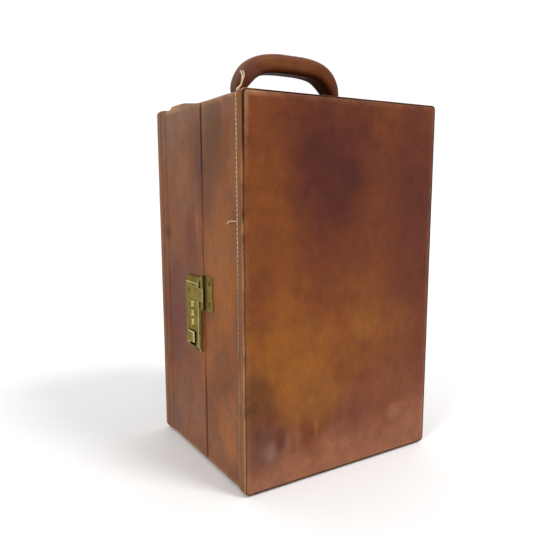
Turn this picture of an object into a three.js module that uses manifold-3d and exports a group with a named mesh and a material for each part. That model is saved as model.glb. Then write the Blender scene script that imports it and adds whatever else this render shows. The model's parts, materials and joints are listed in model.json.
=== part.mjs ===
// An upright leather-covered case that opens like a book. A deep half, the body, carries the top handle and a
// three-dial lock, and a shallow half, the lid, swings on a long pin hinge at the back. Each half is a box of thin
// boards under a leather skin, with a stitched binding round its outer face.
// Units are millimetres. +Z is up, -X is the lock side, +X the hinge side, -Y the lid's face, +Y the body's face.
// The origin is on the floor, under the middle of the object's bounding box.
import * as THREE from "three";
import { mergeVertices } from "three/addons/utils/BufferGeometryUtils.js";
import Module from "manifold-3d";

const wasm = await Module();
wasm.setup();

// The closed case, over the bindings
const CASE_WIDTH = 254;
const CASE_DEPTH = 218;
const CASE_HEIGHT = 406;
const CASE_LIFT = 2; // the bindings' clearance over the floor, given by the glides
const CORNER_RADIUS = 5;

// The two halves, measured from each outer face towards the seam
const LID_DEPTH = 92;
const SEAM_GAP = 2;
const BODY_DEPTH = CASE_DEPTH - LID_DEPTH - SEAM_GAP;

// The make-up of a wall, from outside to inside
const BINDING_THICKNESS = 1.7;
const BINDING_WIDTH = 19;
const LEATHER_THICKNESS = 1.6;
const BOARD_THICKNESS = 6;
const LINING_THICKNESS = 1;
const FACE_LEATHER_THICKNESS = 2.5;
const GAP = 0.3; // between pieces that touch

// Insets from the outer faces of the case to each layer
const WALL_INSET = BINDING_THICKNESS + GAP;
const BOARD_INSET = WALL_INSET + LEATHER_THICKNESS + GAP;
const BOARD_INNER = BOARD_INSET + BOARD_THICKNESS;
const LINING_INSET = BOARD_INNER + GAP;
const LINING_INNER = LINING_INSET + LINING_THICKNESS;
const FACE_BOARD_START = FACE_LEATHER_THICKNESS + GAP;
const FACE_BOARD_END = FACE_BOARD_START + BOARD_THICKNESS;

// Places that several pieces share
const HALF_WIDTH = CASE_WIDTH / 2;
const HALF_DEPTH = CASE_DEPTH / 2;
const TOP = CASE_LIFT + CASE_HEIGHT;
const MIDDLE = (TOP + CASE_LIFT) / 2;
const WALL_X = HALF_WIDTH - WALL_INSET; // outside of the wall leather
const WALL_TOP = TOP - WALL_INSET;
const WALL_BOTTOM = CASE_LIFT + WALL_INSET;
const LINING_X = HALF_WIDTH - LINING_INNER; // inside of the lining
const SEAM_Y = LID_DEPTH + SEAM_GAP / 2 - HALF_DEPTH;

// The hinge at the back
const HINGE_LENGTH = 380;
const HINGE_KNUCKLES = 13;
const HINGE_BARREL_RADIUS = 2.6;
const HINGE_PIN_RADIUS = 1.1;
const HINGE_LEAF_WIDTH = 16;
const HINGE_LEAF_THICKNESS = 1;
const HINGE_X = WALL_X + GAP + HINGE_BARREL_RADIUS + 0.3;
const HINGE_SCREW_HEIGHTS = [-150, 0, 150];

// The lock on the body's front wall
const LOCK_Y = 7.5;
const LOCK_WIDTH = 34;
const LOCK_BOTTOM = 131;
const LOCK_TOP = 217;
const LOCK_BASE_THICKNESS = 1;
const LOCK_COVER_HEIGHT = 3.7;
const LOCK_COVER_WALL = 1;
const LOCK_BEVEL = 7;
const LOCK_RIM = 0.8;
const LOCK_BASE_X = WALL_X + GAP + LOCK_BASE_THICKNESS; // distances out from the middle, on the -X side
const LOCK_COVER_X = LOCK_BASE_X + GAP;
const LOCK_FRONT_X = LOCK_COVER_X + LOCK_COVER_HEIGHT;
const DIAL_RADIUS = 6.5;
const DIAL_THICKNESS = 6.8;
const DIAL_HEIGHTS = [185.4, 175, 164.6];
const DIAL_PROUD = 0.7;
const DIAL_X = LOCK_FRONT_X + DIAL_PROUD - DIAL_RADIUS;
const SPINDLE_RADIUS = 1.2;
const SLIDER_BOTTOM = 141;
const SLIDER_TOP = 154;
const SLIDER_WIDTH = 15;
const SLIDER_PROUD = 2.5;
const SLIDER_TRAVEL = 4;
const BOLT_Y = -4;
const BOLT_PLATE_X = LOCK_BASE_X + 0.5; // the back of the plate that the slider and the bolt share
const BOLT_PLATE_THICKNESS = 1.4;
const LOCK_SCREW_HEIGHTS = [LOCK_BOTTOM + 2.6, LOCK_TOP - 3.5];

// The hasp on the lid's front wall, which folds over into a notch in the lock
const HASP_BOTTOM = 182;
const HASP_TOP = 220;
const HASP_PLATE_WIDTH = 19;
const HASP_BARREL_RADIUS = 2.5;
const HASP_X = WALL_X + GAP + HASP_BARREL_RADIUS;
const HASP_Y = SEAM_Y;
const HASP_PIN_RADIUS = 1;
const FLAP_BOTTOM = 190.9;
const FLAP_TOP = 205.7;
const FLAP_END_Y = 13.7;
const FLAP_THICKNESS = 1.6;
const NOTCH_MARGIN = 0.4;

// The handle on the body's top wall
const HANDLE_Y = 10;
const HANDLE_HEIGHT = 63; // over the bindings
const HANDLE_PIVOT_X = 68.5;
const HANDLE_PIVOT_Z = WALL_TOP + 8;
const HANDLE_PIN_RADIUS = 1.5;
const STRAP_WIDTH = 12.6;
const STRAP_THICKNESS = 3;
const GRIP_STATIONS = 30;

const GLIDE_RADIUS = 7;

const WINDOW_MARGIN = 0.4;
const BORE_CLEARANCE = 0.2;

// Materials
const finish = (color, roughness, metalness) => new THREE.MeshStandardMaterial({ color, roughness, metalness });
const WALL_LEATHER = finish(0x86502f, 0.5, 0);
const FACE_LEATHER = finish(0x9a5626, 0.42, 0);
const BINDING_LEATHER = finish(0x94602f, 0.5, 0);
const GRIP_LEATHER = finish(0x70382a, 0.45, 0);
const BRASS = finish(0x9c8c4c, 0.3, 1);
const BRIGHT_BRASS = finish(0xb5a860, 0.28, 1);
const STEEL = finish(0x8b8d90, 0.4, 1);
const BOARD = finish(0xb99a6b, 0.8, 0);
const LINING = finish(0x5f4a34, 0.95, 0);

const caseGroup = new THREE.Group();

function add(name, geometry, material) {
  geometry.computeVertexNormals();
  const mesh = new THREE.Mesh(geometry, material);
  mesh.name = name;
  caseGroup.add(mesh);
}

// Joins and cuts

function toSolid(geometry) {
  const bare = new THREE.BufferGeometry();
  bare.setAttribute("position", geometry.getAttribute("position").clone());
  bare.setIndex(geometry.getIndex());
  const merged = mergeVertices(bare, 1e-3);
  return new wasm.Manifold(new wasm.Mesh({
    numProp: 3,
    vertProperties: merged.getAttribute("position").array,
    triVerts: new Uint32Array(merged.getIndex().array),
  }));
}

function toGeometry(solid) {
  const mesh = solid.getMesh();
  const geometry = new THREE.BufferGeometry();
  geometry.setAttribute("position", new THREE.BufferAttribute(new Float32Array(mesh.vertProperties), 3));
  geometry.setIndex(new THREE.BufferAttribute(new Uint32Array(mesh.triVerts), 1));
  return geometry;
}

const join = (first, ...rest) => toGeometry(rest.reduce((sum, g) => sum.add(toSolid(g)), toSolid(first)));
const cut = (first, ...rest) => toGeometry(rest.reduce((left, g) => left.subtract(toSolid(g)), toSolid(first)));

// Shapes

function block([x0, x1], [y0, y1], [z0, z1]) {
  const box = new THREE.BoxGeometry(Math.abs(x1 - x0), Math.abs(y1 - y0), Math.abs(z1 - z0));
  return box.translate((x0 + x1) / 2, (y0 + y1) / 2, (z0 + z1) / 2);
}

// A cylinder from one point along an axis, which is "x", "y" or "z"
function rod(radius, [x, y, z], axis, length, sides = 12) {
  const cylinder = new THREE.CylinderGeometry(radius, radius, length, sides).translate(0, length / 2, 0);
  if (axis === "x") cylinder.rotateZ(-Math.PI / 2);
  if (axis === "z") cylinder.rotateX(Math.PI / 2);
  return cylinder.translate(x, y, z);
}

// A turned piece: [radius, height] points from one end of its axis to the other, standing along +Z
const turned = (profile, sides = 12) =>
  new THREE.LatheGeometry(profile.map(([r, h]) => new THREE.Vector2(r, h)), sides).rotateX(Math.PI / 2);

// Turns a piece that stands along +Z so that it points along a direction, and moves it to a place
function point(geometry, direction, [x, y, z]) {
  const turn = new THREE.Quaternion().setFromUnitVectors(new THREE.Vector3(0, 0, 1), new THREE.Vector3(...direction));
  return geometry.applyQuaternion(turn).translate(x, y, z);
}

// A closed body from its points and quads or triangles, with its faces turned outwards
function closedBody(points, faces) {
  const triangles = faces.flatMap((f) => f.slice(2).map((_, i) => [f[0], f[i + 1], f[i + 2]]));
  const volume = triangles.reduce((sum, [a, b, c]) =>
    sum + points[a].dot(new THREE.Vector3().crossVectors(points[b], points[c])), 0);
  const outward = volume > 0 ? triangles : triangles.map(([a, b, c]) => [a, c, b]);
  return new THREE.BufferGeometry().setFromPoints(points).setIndex(outward.flat());
}

// A body through a row of rings with the same number of points, closed flat at both ends or joined round
function loft(rings, joinedRound = false) {
  const count = rings[0].length;
  const faces = [];
  const spans = joinedRound ? rings.length : rings.length - 1;
  for (let i = 0; i < spans; i++) {
    const from = i * count;
    const to = ((i + 1) % rings.length) * count;
    for (let j = 0; j < count; j++) {
      const k = (j + 1) % count;
      faces.push([from + j, from + k, to + k, to + j]);
    }
  }
  if (!joinedRound) {
    faces.push([...Array(count).keys()].reverse());
    faces.push([...Array(count).keys()].map((j) => (rings.length - 1) * count + j));
  }
  return closedBody(rings.flat(), faces);
}

// The case's rounded outline in the XZ plane at one Y, set in from the outer faces
function outline(inset, y) {
  const radius = Math.max(CORNER_RADIUS - 1.3 * inset, 0.4);
  const x = HALF_WIDTH - inset - radius;
  const z = CASE_HEIGHT / 2 - inset - radius;
  const points = [];
  [[x, z], [-x, z], [-x, -z], [x, -z]].forEach(([cx, cz], corner) => {
    for (let step = 0; step <= 3; step++) {
      const angle = (corner + step / 3) * Math.PI / 2;
      points.push(new THREE.Vector3(cx + radius * Math.cos(angle), y, MIDDLE + cz + radius * Math.sin(angle)));
    }
  });
  return points;
}

// Fasteners, standing along +Z with the seat of the head at zero and the shank below

function screw(headRadius, headHeight, shankRadius, length) {
  return turned([
    [0, -length], [shankRadius * 0.5, -length], [shankRadius, -length + shankRadius], [shankRadius, 0],
    [headRadius, 0], [headRadius, headHeight * 0.4], [headRadius * 0.6, headHeight], [0, headHeight],
  ]);
}

function rivet(headRadius, headHeight, shankRadius, length) {
  return turned([
    [0, -length - headHeight], [headRadius * 0.7, -length - headHeight], [headRadius * 0.9, -length],
    [shankRadius, -length], [shankRadius, 0],
    [headRadius, 0], [headRadius * 0.8, headHeight * 0.7], [headRadius * 0.4, headHeight], [0, headHeight],
  ]);
}

// Where each fastener goes through the walls. A hole is the shank with clearance all round.

const SHANK = 1.2;
const HOLE = SHANK + 0.3;
const HINGE_SCREW_Y = 10; // from the seam
const HANDLE_RIVET_SPREAD = 9;
const HASP_RIVET_Y = HASP_Y - 13;
const HASP_RIVET_HEIGHTS = [HASP_BOTTOM + 8, HASP_TOP - 8];
const GLIDE_X = 100;
const WALL_SPAN = LINING_INNER - WALL_INSET; // through leather, board and lining

const handleRivets = [-1, 1].flatMap((side) => [-1, 1].map((end) => side * HANDLE_PIVOT_X + end * HANDLE_RIVET_SPREAD));
const bodyGlides = [-1, 1].flatMap((side) => [[side * GLIDE_X, 2], [side * GLIDE_X, 78]]);
const lidGlides = [[-GLIDE_X, -66], [GLIDE_X, -66]];

const glideHoles = (places) => places.map(([x, y]) => rod(HOLE, [x, y, WALL_BOTTOM - 1], "z", 7));
const hingeHoles = (side) => HINGE_SCREW_HEIGHTS.map((height) =>
  rod(HOLE, [WALL_X - 7, SEAM_Y + side * HINGE_SCREW_Y, MIDDLE + height], "x", 12));
const mechanismHole = block(
  [-WALL_X - 1, -WALL_X + BOARD_INNER - WALL_INSET + 0.1],
  [LOCK_Y - 7.5, LOCK_Y + 7.5],
  [DIAL_HEIGHTS[2] - 7, DIAL_HEIGHTS[0] + 9],
);
const bodyHoles = [
  ...handleRivets.map((x) => rod(HOLE, [x, HANDLE_Y, WALL_TOP - 12], "z", 16)),
  ...LOCK_SCREW_HEIGHTS.map((z) => rod(HOLE, [-WALL_X - 2.8, LOCK_Y, z], "x", 16)),
  ...hingeHoles(1),
  ...glideHoles(bodyGlides),
];
const lidHoles = [
  ...HASP_RIVET_HEIGHTS.map((z) => rod(HOLE, [-WALL_X - 3, HASP_RIVET_Y, z], "x", 16)),
  ...hingeHoles(-1),
  ...glideHoles(lidGlides),
];

// One half of the case. side is -1 for the lid and 1 for the body, and at() turns a depth from the outer face to Y.

function wallLeather(at, depth) {
  const turnIn = depth - LEATHER_THICKNESS;
  const profile = [
    [WALL_INSET, FACE_BOARD_START], [WALL_INSET, depth - 1.4], [WALL_INSET + 0.5, depth - 0.4],
    [WALL_INSET + 1.4, depth], [BOARD_INNER, depth], [BOARD_INNER, turnIn],
    [WALL_INSET + LEATHER_THICKNESS, turnIn], [WALL_INSET + LEATHER_THICKNESS, FACE_BOARD_START],
  ];
  return loft(profile.map(([inset, k]) => outline(inset, at(k))), true);
}

function edgeBinding(at) {
  const profile = [
    [0, 1.8], [0.7, 0.8], [BINDING_THICKNESS, 0.8], [BINDING_THICKNESS, BINDING_WIDTH],
    [0.5, BINDING_WIDTH], [0, BINDING_WIDTH - 0.6],
  ];
  return loft(profile.map(([inset, k]) => outline(inset, at(k))), true);
}

const faceLeather = (at) =>
  loft([[WALL_INSET + 0.2, FACE_LEATHER_THICKNESS], [WALL_INSET + 0.2, 1], [WALL_INSET + 1.4, 0]]
    .map(([inset, k]) => outline(inset, at(k))));

function buildHalf(prefix, side, depth, holes) {
  const at = (k) => side * (HALF_DEPTH - k);
  const wallY = [at(FACE_BOARD_END + GAP), at(depth - LEATHER_THICKNESS - GAP)];
  const x = (inset) => HALF_WIDTH - inset;
  const upper = [TOP - BOARD_INNER, TOP - BOARD_INSET];
  const lower = [CASE_LIFT + BOARD_INSET, CASE_LIFT + BOARD_INNER];
  const between = [lower[1] + GAP, upper[0] - GAP];
  const mechanism = side > 0 ? [mechanismHole] : [];

  const wide = [-x(BOARD_INSET), x(BOARD_INSET)];
  add(`${prefix}_top_board`, cut(block(wide, wallY, upper), ...holes), BOARD);
  add(`${prefix}_bottom_board`, cut(block(wide, wallY, lower), ...holes), BOARD);
  const front = block([-x(BOARD_INSET), -x(BOARD_INNER)], wallY, between);
  add(`${prefix}_front_board`, cut(front, ...holes, ...mechanism), BOARD);
  add(`${prefix}_back_board`, cut(block([x(BOARD_INNER), x(BOARD_INSET)], wallY, between), ...holes), BOARD);
  add(`${prefix}_face_board`, block(wide, [at(FACE_BOARD_START), at(FACE_BOARD_END)], [lower[0], upper[1]]), BOARD);

  add(`${prefix}_wall_leather`, cut(wallLeather(at, depth), ...holes, ...mechanism), WALL_LEATHER);
  add(`${prefix}_edge_binding`, edgeBinding(at), BINDING_LEATHER);
  add(`${prefix}_face_leather`, faceLeather(at), FACE_LEATHER);

  const tray = block(
    [-x(LINING_INSET), x(LINING_INSET)], wallY, [CASE_LIFT + LINING_INSET, TOP - LINING_INSET]);
  const room = block(
    [-x(LINING_INNER), x(LINING_INNER)],
    [at(FACE_BOARD_END + GAP + LINING_THICKNESS), at(depth + 1)],
    [CASE_LIFT + LINING_INNER, TOP - LINING_INNER]);
  add(`${prefix}_lining`, cut(tray, room, ...holes), LINING);
}

// Hinge: two leaves on the outside of the back walls, with knuckles in turn round one pin

function hingeLeaf(side, first) {
  const bottom = MIDDLE - HINGE_LENGTH / 2;
  const pitch = HINGE_LENGTH / HINGE_KNUCKLES;
  const leafX = [WALL_X + GAP, WALL_X + GAP + HINGE_LEAF_THICKNESS];
  const inner = SEAM_Y + side * (HINGE_BARREL_RADIUS + 0.6);
  const plate = block(leafX, [inner, SEAM_Y + side * HINGE_LEAF_WIDTH], [bottom, bottom + HINGE_LENGTH]);
  const knuckles = [];
  for (let i = first; i < HINGE_KNUCKLES; i += 2) {
    const low = bottom + i * pitch + GAP / 2;
    const high = low + pitch - GAP;
    knuckles.push(rod(HINGE_BARREL_RADIUS, [HINGE_X, SEAM_Y, low], "z", high - low));
    knuckles.push(block(leafX, [SEAM_Y + side * 0.4, inner + side * 0.5], [low, high]));
  }
  const bore = rod(HINGE_PIN_RADIUS + BORE_CLEARANCE, [HINGE_X, SEAM_Y, bottom - 1], "z", HINGE_LENGTH + 2);
  return cut(join(plate, ...knuckles), bore, ...hingeHoles(side));
}

function buildHinge() {
  add("hinge_body_leaf", hingeLeaf(1, 0), BRASS);
  add("hinge_lid_leaf", hingeLeaf(-1, 1), BRASS);
  const pinStart = [HINGE_X, SEAM_Y, MIDDLE - HINGE_LENGTH / 2 + 0.5];
  add("hinge_pin", rod(HINGE_PIN_RADIUS, pinStart, "z", HINGE_LENGTH - 1), STEEL);
  for (const [half, side] of [["body", 1], ["lid", -1]]) {
    HINGE_SCREW_HEIGHTS.forEach((height, i) => {
      const place = [WALL_X + 2 * GAP + HINGE_LEAF_THICKNESS, SEAM_Y + side * HINGE_SCREW_Y, MIDDLE + height];
      add(`hinge_${half}_screw_${i + 1}`, point(screw(2.6, 0.9, SHANK, 8), [1, 0, 0], place), BRASS);
    });
  }
}

// Lock. out() turns a distance out from the middle of the case to X.

const out = (distance) => -distance;
const lockY = [LOCK_Y - LOCK_WIDTH / 2, LOCK_Y + LOCK_WIDTH / 2];
const EAR_THICKNESS = 1.2;
const dialSpan = [DIAL_HEIGHTS[2] - DIAL_THICKNESS / 2, DIAL_HEIGHTS[0] + DIAL_THICKNESS / 2];
const earHeights = [dialSpan[0] - 1 - EAR_THICKNESS, dialSpan[1] + 1];
const flapSlot = [FLAP_BOTTOM - NOTCH_MARGIN, FLAP_TOP + NOTCH_MARGIN];
const LUG_Z = [FLAP_BOTTOM + 1.1, FLAP_TOP - 2.7];
const LUG_Y = [BOLT_Y - 2.8, BOLT_Y + 2.8];
const lugPocket = (depths) => block(depths.map(out), [lockY[0] - 1, LUG_Y[1] + 0.6], [flapSlot[0], LUG_Z[1] + 1]);

function lockBase() {
  const plate = block([LOCK_BASE_X - LOCK_BASE_THICKNESS, LOCK_BASE_X].map(out), lockY, [LOCK_BOTTOM, LOCK_TOP]);
  const ears = earHeights.map((z) =>
    block([LOCK_BASE_X, DIAL_X - 3].map(out), [LOCK_Y - 3.5, LOCK_Y + 3.5], [z, z + EAR_THICKNESS]));
  const dialHole = block(
    [LOCK_BASE_X - 2, LOCK_BASE_X + 1].map(out), [LOCK_Y - 7.2, LOCK_Y + 7.2],
    [earHeights[0] + EAR_THICKNESS, earHeights[1]]);
  const bore = rod(SPINDLE_RADIUS + BORE_CLEARANCE, [out(DIAL_X), LOCK_Y, earHeights[0] - 2], "z", 40);
  const screwHoles = LOCK_SCREW_HEIGHTS.map((z) => rod(HOLE, [out(WALL_X + 2.6), LOCK_Y, z], "x", 4));
  const pocket = lugPocket([LOCK_BASE_X - 2, LOCK_BASE_X + 1]);
  return cut(join(plate, ...ears), dialHole, bore, pocket, ...screwHoles);
}

function lockRing(distance, rim, bevel) {
  const [y0, y1] = [lockY[0] + rim, lockY[1] - rim];
  const [z0, z1] = [LOCK_BOTTOM + bevel, LOCK_TOP - bevel];
  return [[y0, z0], [y1, z0], [y1, z1], [y0, z1]].map(([y, z]) => new THREE.Vector3(out(distance), y, z));
}

function lockCover() {
  const body = loft([
    lockRing(LOCK_COVER_X, 0, 0), lockRing(LOCK_COVER_X + 0.8, 0, 0), lockRing(LOCK_FRONT_X, LOCK_RIM, LOCK_BEVEL),
  ]);
  const inside = LOCK_FRONT_X - LOCK_COVER_WALL;
  const behind = LOCK_COVER_X - 0.1;
  const cavity = block(
    [inside, behind].map(out), [LOCK_Y - 13.5, LOCK_Y + 13.5],
    [SLIDER_BOTTOM - SLIDER_TRAVEL - 0.8, dialSpan[1] + WINDOW_MARGIN]);
  const windows = DIAL_HEIGHTS.map((z) => block(
    [inside - 0.5, LOCK_FRONT_X + 1].map(out), [LOCK_Y - 6.5, LOCK_Y + 6.5],
    [z - DIAL_THICKNESS / 2 - WINDOW_MARGIN, z + DIAL_THICKNESS / 2 + WINDOW_MARGIN]));
  const sliderSlot = block(
    [inside - 0.5, LOCK_FRONT_X + 1].map(out),
    [LOCK_Y - SLIDER_WIDTH / 2 - 1.8, LOCK_Y + SLIDER_WIDTH / 2 + 0.6],
    [SLIDER_BOTTOM - SLIDER_TRAVEL - 0.3, SLIDER_TOP + 0.8]);
  const boltChannel = block([behind, LOCK_BASE_X + 2.2].map(out), [BOLT_Y - 2.2, BOLT_Y + 2.2], [150, flapSlot[0] + 1]);
  const notch = block(
    [LOCK_FRONT_X - 2, LOCK_FRONT_X + 1].map(out), [lockY[0] - 1, FLAP_END_Y + 0.6], flapSlot);
  const screwHoles = LOCK_SCREW_HEIGHTS.map((z) => rod(HOLE, [out(WALL_X + 2.6), LOCK_Y, z], "x", 4));
  const hollow = cut(
    body, cavity, ...windows, sliderSlot, boltChannel, notch, lugPocket([behind, LOCK_FRONT_X - 1.8]), ...screwHoles);
  const springPost = block([inside + 0.2, behind + 0.3].map(out), [16.8, 19.2], [175.3, 178]);
  return join(hollow, springPost);
}

// A dial has ten flats with a groove between each two
function dial() {
  const shape = new THREE.Shape();
  for (let i = 0; i < 10; i++) {
    [[-12, DIAL_RADIUS], [12, DIAL_RADIUS], [18, DIAL_RADIUS - 0.6]].forEach(([degrees, r], j) => {
      const angle = THREE.MathUtils.degToRad(i * 36 + degrees);
      const corner = [r * Math.cos(angle), r * Math.sin(angle)];
      if (i + j === 0) shape.moveTo(...corner);
      else shape.lineTo(...corner);
    });
  }
  const bore = new THREE.Path().absarc(0, 0, SPINDLE_RADIUS + BORE_CLEARANCE, 0, 2 * Math.PI, true);
  shape.holes.push(bore);
  return new THREE.ExtrudeGeometry(shape, { depth: DIAL_THICKNESS, bevelEnabled: false, curveSegments: 12 });
}

function slider() {
  const plateX = [BOLT_PLATE_X, BOLT_PLATE_X + BOLT_PLATE_THICKNESS].map(out);
  const plate = block(plateX, [BOLT_Y - 1.6, LOCK_Y + 12.8], [SLIDER_BOTTOM - 0.4, SLIDER_TOP + 1.4]);
  const half = SLIDER_WIDTH / 2;
  const ring = (distance, inset) => [[-1, SLIDER_BOTTOM], [1, SLIDER_BOTTOM], [1, SLIDER_TOP], [-1, SLIDER_TOP]]
    .map(([side, z]) => new THREE.Vector3(
      out(distance), LOCK_Y + side * (half - inset), z + (z === SLIDER_TOP ? -inset : inset)));
  const front = LOCK_FRONT_X + SLIDER_PROUD;
  const button = loft([ring(BOLT_PLATE_X + 1, 0), ring(front - 0.8, 0), ring(front, 0.8)]);
  return join(plate, button);
}

class Helix extends THREE.Curve {
  constructor(radius, height, turns) {
    super();
    Object.assign(this, { radius, height, turns });
  }
  getPoint(t, target = new THREE.Vector3()) {
    const angle = 2 * Math.PI * this.turns * t;
    return target.set(this.radius * Math.cos(angle), this.radius * Math.sin(angle), this.height * t);
  }
}

function sliderSpring() {
  const turns = 7;
  const wire = new THREE.Shape().absarc(0, 0, 0.22, 0, 2 * Math.PI);
  const bottom = SLIDER_TOP + 2.1;
  const height = 175 - 0.25 - bottom;
  const coil = new THREE.ExtrudeGeometry(wire, {
    extrudePath: new Helix(0.75, height, turns), steps: turns * 8, bevelEnabled: false, curveSegments: 3,
  });
  return coil.translate(out(BOLT_PLATE_X + 1.05), 18, bottom);
}

function buildLock() {
  add("lock_base", lockBase(), BRASS);
  add("lock_cover", lockCover(), BRASS);
  const spindleStart = earHeights[0] - 0.4;
  const spindleLength = earHeights[1] + EAR_THICKNESS + 0.4 - spindleStart;
  add("dial_spindle", rod(SPINDLE_RADIUS, [out(DIAL_X), LOCK_Y, spindleStart], "z", spindleLength), STEEL);
  ["upper", "middle", "lower"].forEach((name, i) => {
    const placed = dial().translate(out(DIAL_X), LOCK_Y, DIAL_HEIGHTS[i] - DIAL_THICKNESS / 2);
    add(`${name}_dial`, placed, BRIGHT_BRASS);
  });
  add("release_slider", slider(), BRASS);
  const boltX = [BOLT_PLATE_X, BOLT_PLATE_X + BOLT_PLATE_THICKNESS].map(out);
  add("latch_bolt", block(boltX, [BOLT_Y - 1.6, BOLT_Y + 1.6], [SLIDER_TOP + 1.7, FLAP_BOTTOM - 0.7]), STEEL);
  add("slider_spring", sliderSpring(), STEEL);
  LOCK_SCREW_HEIGHTS.forEach((z, i) => {
    const place = [-LINING_X + GAP, LOCK_Y, z];
    add(`lock_screw_${i + 1}`, point(screw(3, 1.6, SHANK, 11.6), [1, 0, 0], place), BRASS);
  });
}

// Hasp: a plate on the lid with a flap hinged at the seam. The flap's lug takes the bolt.

function haspPlate() {
  const plateX = [WALL_X + GAP, WALL_X + GAP + 1.2].map(out);
  const edge = HASP_Y - 3;
  const plate = block(plateX, [edge - HASP_PLATE_WIDTH, edge], [HASP_BOTTOM, HASP_TOP]);
  const knuckles = [[HASP_BOTTOM, FLAP_BOTTOM - GAP], [FLAP_TOP + GAP, HASP_TOP]].flatMap(([low, high]) => [
    rod(HASP_BARREL_RADIUS, [out(HASP_X), HASP_Y, low], "z", high - low),
    block(plateX, [edge - 1, HASP_Y], [low, high]),
  ]);
  const bore = rod(HASP_PIN_RADIUS + BORE_CLEARANCE, [out(HASP_X), HASP_Y, HASP_BOTTOM - 1], "z", 40);
  const rivetHoles = HASP_RIVET_HEIGHTS.map((z) => rod(HOLE, [out(WALL_X + 3), HASP_RIVET_Y, z], "x", 4));
  return cut(join(plate, ...knuckles), bore, ...rivetHoles);
}

function haspFlap() {
  const front = LOCK_FRONT_X - 0.1;
  const span = [FLAP_BOTTOM, FLAP_TOP];
  const barrel = rod(HASP_BARREL_RADIUS, [out(HASP_X), HASP_Y, FLAP_BOTTOM], "z", FLAP_TOP - FLAP_BOTTOM);
  const leaf = block([front, front - FLAP_THICKNESS].map(out), [HASP_Y, FLAP_END_Y], span);
  const lug = block([front - 1, LOCK_BASE_X - 0.7].map(out), LUG_Y, LUG_Z);
  const bore = rod(HASP_PIN_RADIUS + BORE_CLEARANCE, [out(HASP_X), HASP_Y, FLAP_BOTTOM - 1], "z", 20);
  const eye = block(
    [BOLT_PLATE_X - 0.2, front - FLAP_THICKNESS].map(out), [BOLT_Y - 1.8, BOLT_Y + 1.8], [LUG_Z[0] - 1, LUG_Z[1] + 1]);
  return cut(join(barrel, leaf, lug), bore, eye);
}

function buildHasp() {
  add("hasp_plate", haspPlate(), BRASS);
  add("hasp_flap", haspFlap(), BRASS);
  const pinLength = HASP_TOP - HASP_BOTTOM - 0.6;
  add("hasp_pin", rod(HASP_PIN_RADIUS, [out(HASP_X), HASP_Y, HASP_BOTTOM + 0.3], "z", pinLength), STEEL);
  HASP_RIVET_HEIGHTS.forEach((z, i) => {
    const place = [out(WALL_X + 2 * GAP + 1.2), HASP_RIVET_Y, z];
    const length = WALL_SPAN + 3 * GAP + 1.2;
    add(`hasp_rivet_${i + 1}`, point(rivet(2.5, 1.1, SHANK, length), [-1, 0, 0], place), BRASS);
  });
}

// Handle: a steel strap with an eye at each end, in a leather grip, on two clevis brackets

const gripTop = TOP + HANDLE_HEIGHT;
// The grip's middle line from one end to the centre: [x, depth below the top, half thickness, half width]
const GRIP_LINE = [
  [66.6, 49.6, 5.6, 9], [65.9, 42.6, 7, 11.3], [61.6, 34, 8.6, 14.2], [54.6, 24.8, 10.1, 15.5],
  [46, 18, 11, 15.5], [34, 13.8, 11.4, 15.5], [18, 11.8, 11.5, 15.5],
];
const gripLine = [
  ...GRIP_LINE, [0, 11.5, 11.5, 15.5], ...GRIP_LINE.toReversed().map(([x, ...rest]) => [-x, ...rest]),
];
const strapEnd = (side) => [0, 3, 6].map((up) =>
  new THREE.Vector3(side * (HANDLE_PIVOT_X - (up === 6 ? 0.3 : 0)), HANDLE_Y, HANDLE_PIVOT_Z + up * 0.8));

// Rings of a section along a curve in the XZ plane. section() gives [across, along Y] points for a place on it.
function sweep(curve, stations, section) {
  const rings = [];
  for (let i = 0; i <= stations; i++) {
    const t = i / stations;
    const middle = curve.getPoint(t);
    const tangent = curve.getTangent(t);
    const across = new THREE.Vector3(-tangent.z, 0, tangent.x);
    rings.push(section(t).map(([a, b]) => middle.clone().addScaledVector(across, a).add(new THREE.Vector3(0, b, 0))));
  }
  return loft(rings);
}

function strap(extra) {
  const middle = gripLine.map(([x, drop]) => new THREE.Vector3(x, HANDLE_Y, gripTop - drop));
  const curve = new THREE.CatmullRomCurve3([...strapEnd(1), ...middle.slice(1, -1), ...strapEnd(-1).toReversed()]);
  const a = STRAP_THICKNESS / 2 + extra;
  const b = STRAP_WIDTH / 2 + extra;
  return sweep(curve, 44, () => [[-a, -b], [a, -b], [a, b], [-a, b]]);
}

function grip() {
  const curve = new THREE.CatmullRomCurve3(gripLine.map(([x, drop]) => new THREE.Vector3(x, HANDLE_Y, gripTop - drop)));
  const sizes = new THREE.CatmullRomCurve3(gripLine.map(([, , thick, wide]) => new THREE.Vector3(thick, wide, 0)));
  const rounded = (v) => Math.sign(v) * Math.abs(v) ** 0.7;
  const covered = sweep(curve, GRIP_STATIONS, (t) => {
    const { x: thick, y: wide } = sizes.getPoint(t);
    return [...Array(14).keys()].map((i) => {
      const angle = (i + 0.5) * Math.PI / 7;
      return [thick * rounded(Math.cos(angle)), wide * rounded(Math.sin(angle))];
    });
  });
  return cut(covered, strap(0.35));
}

function handleFrame() {
  const eyes = [-1, 1].map((side) =>
    rod(3.6, [side * HANDLE_PIVOT_X - STRAP_THICKNESS / 2, HANDLE_Y, HANDLE_PIVOT_Z], "x", STRAP_THICKNESS));
  const bores = [-1, 1].map((side) =>
    rod(HANDLE_PIN_RADIUS + BORE_CLEARANCE, [side * HANDLE_PIVOT_X - 5, HANDLE_Y, HANDLE_PIVOT_Z], "x", 10));
  return cut(join(strap(0), ...eyes), ...bores);
}

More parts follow.
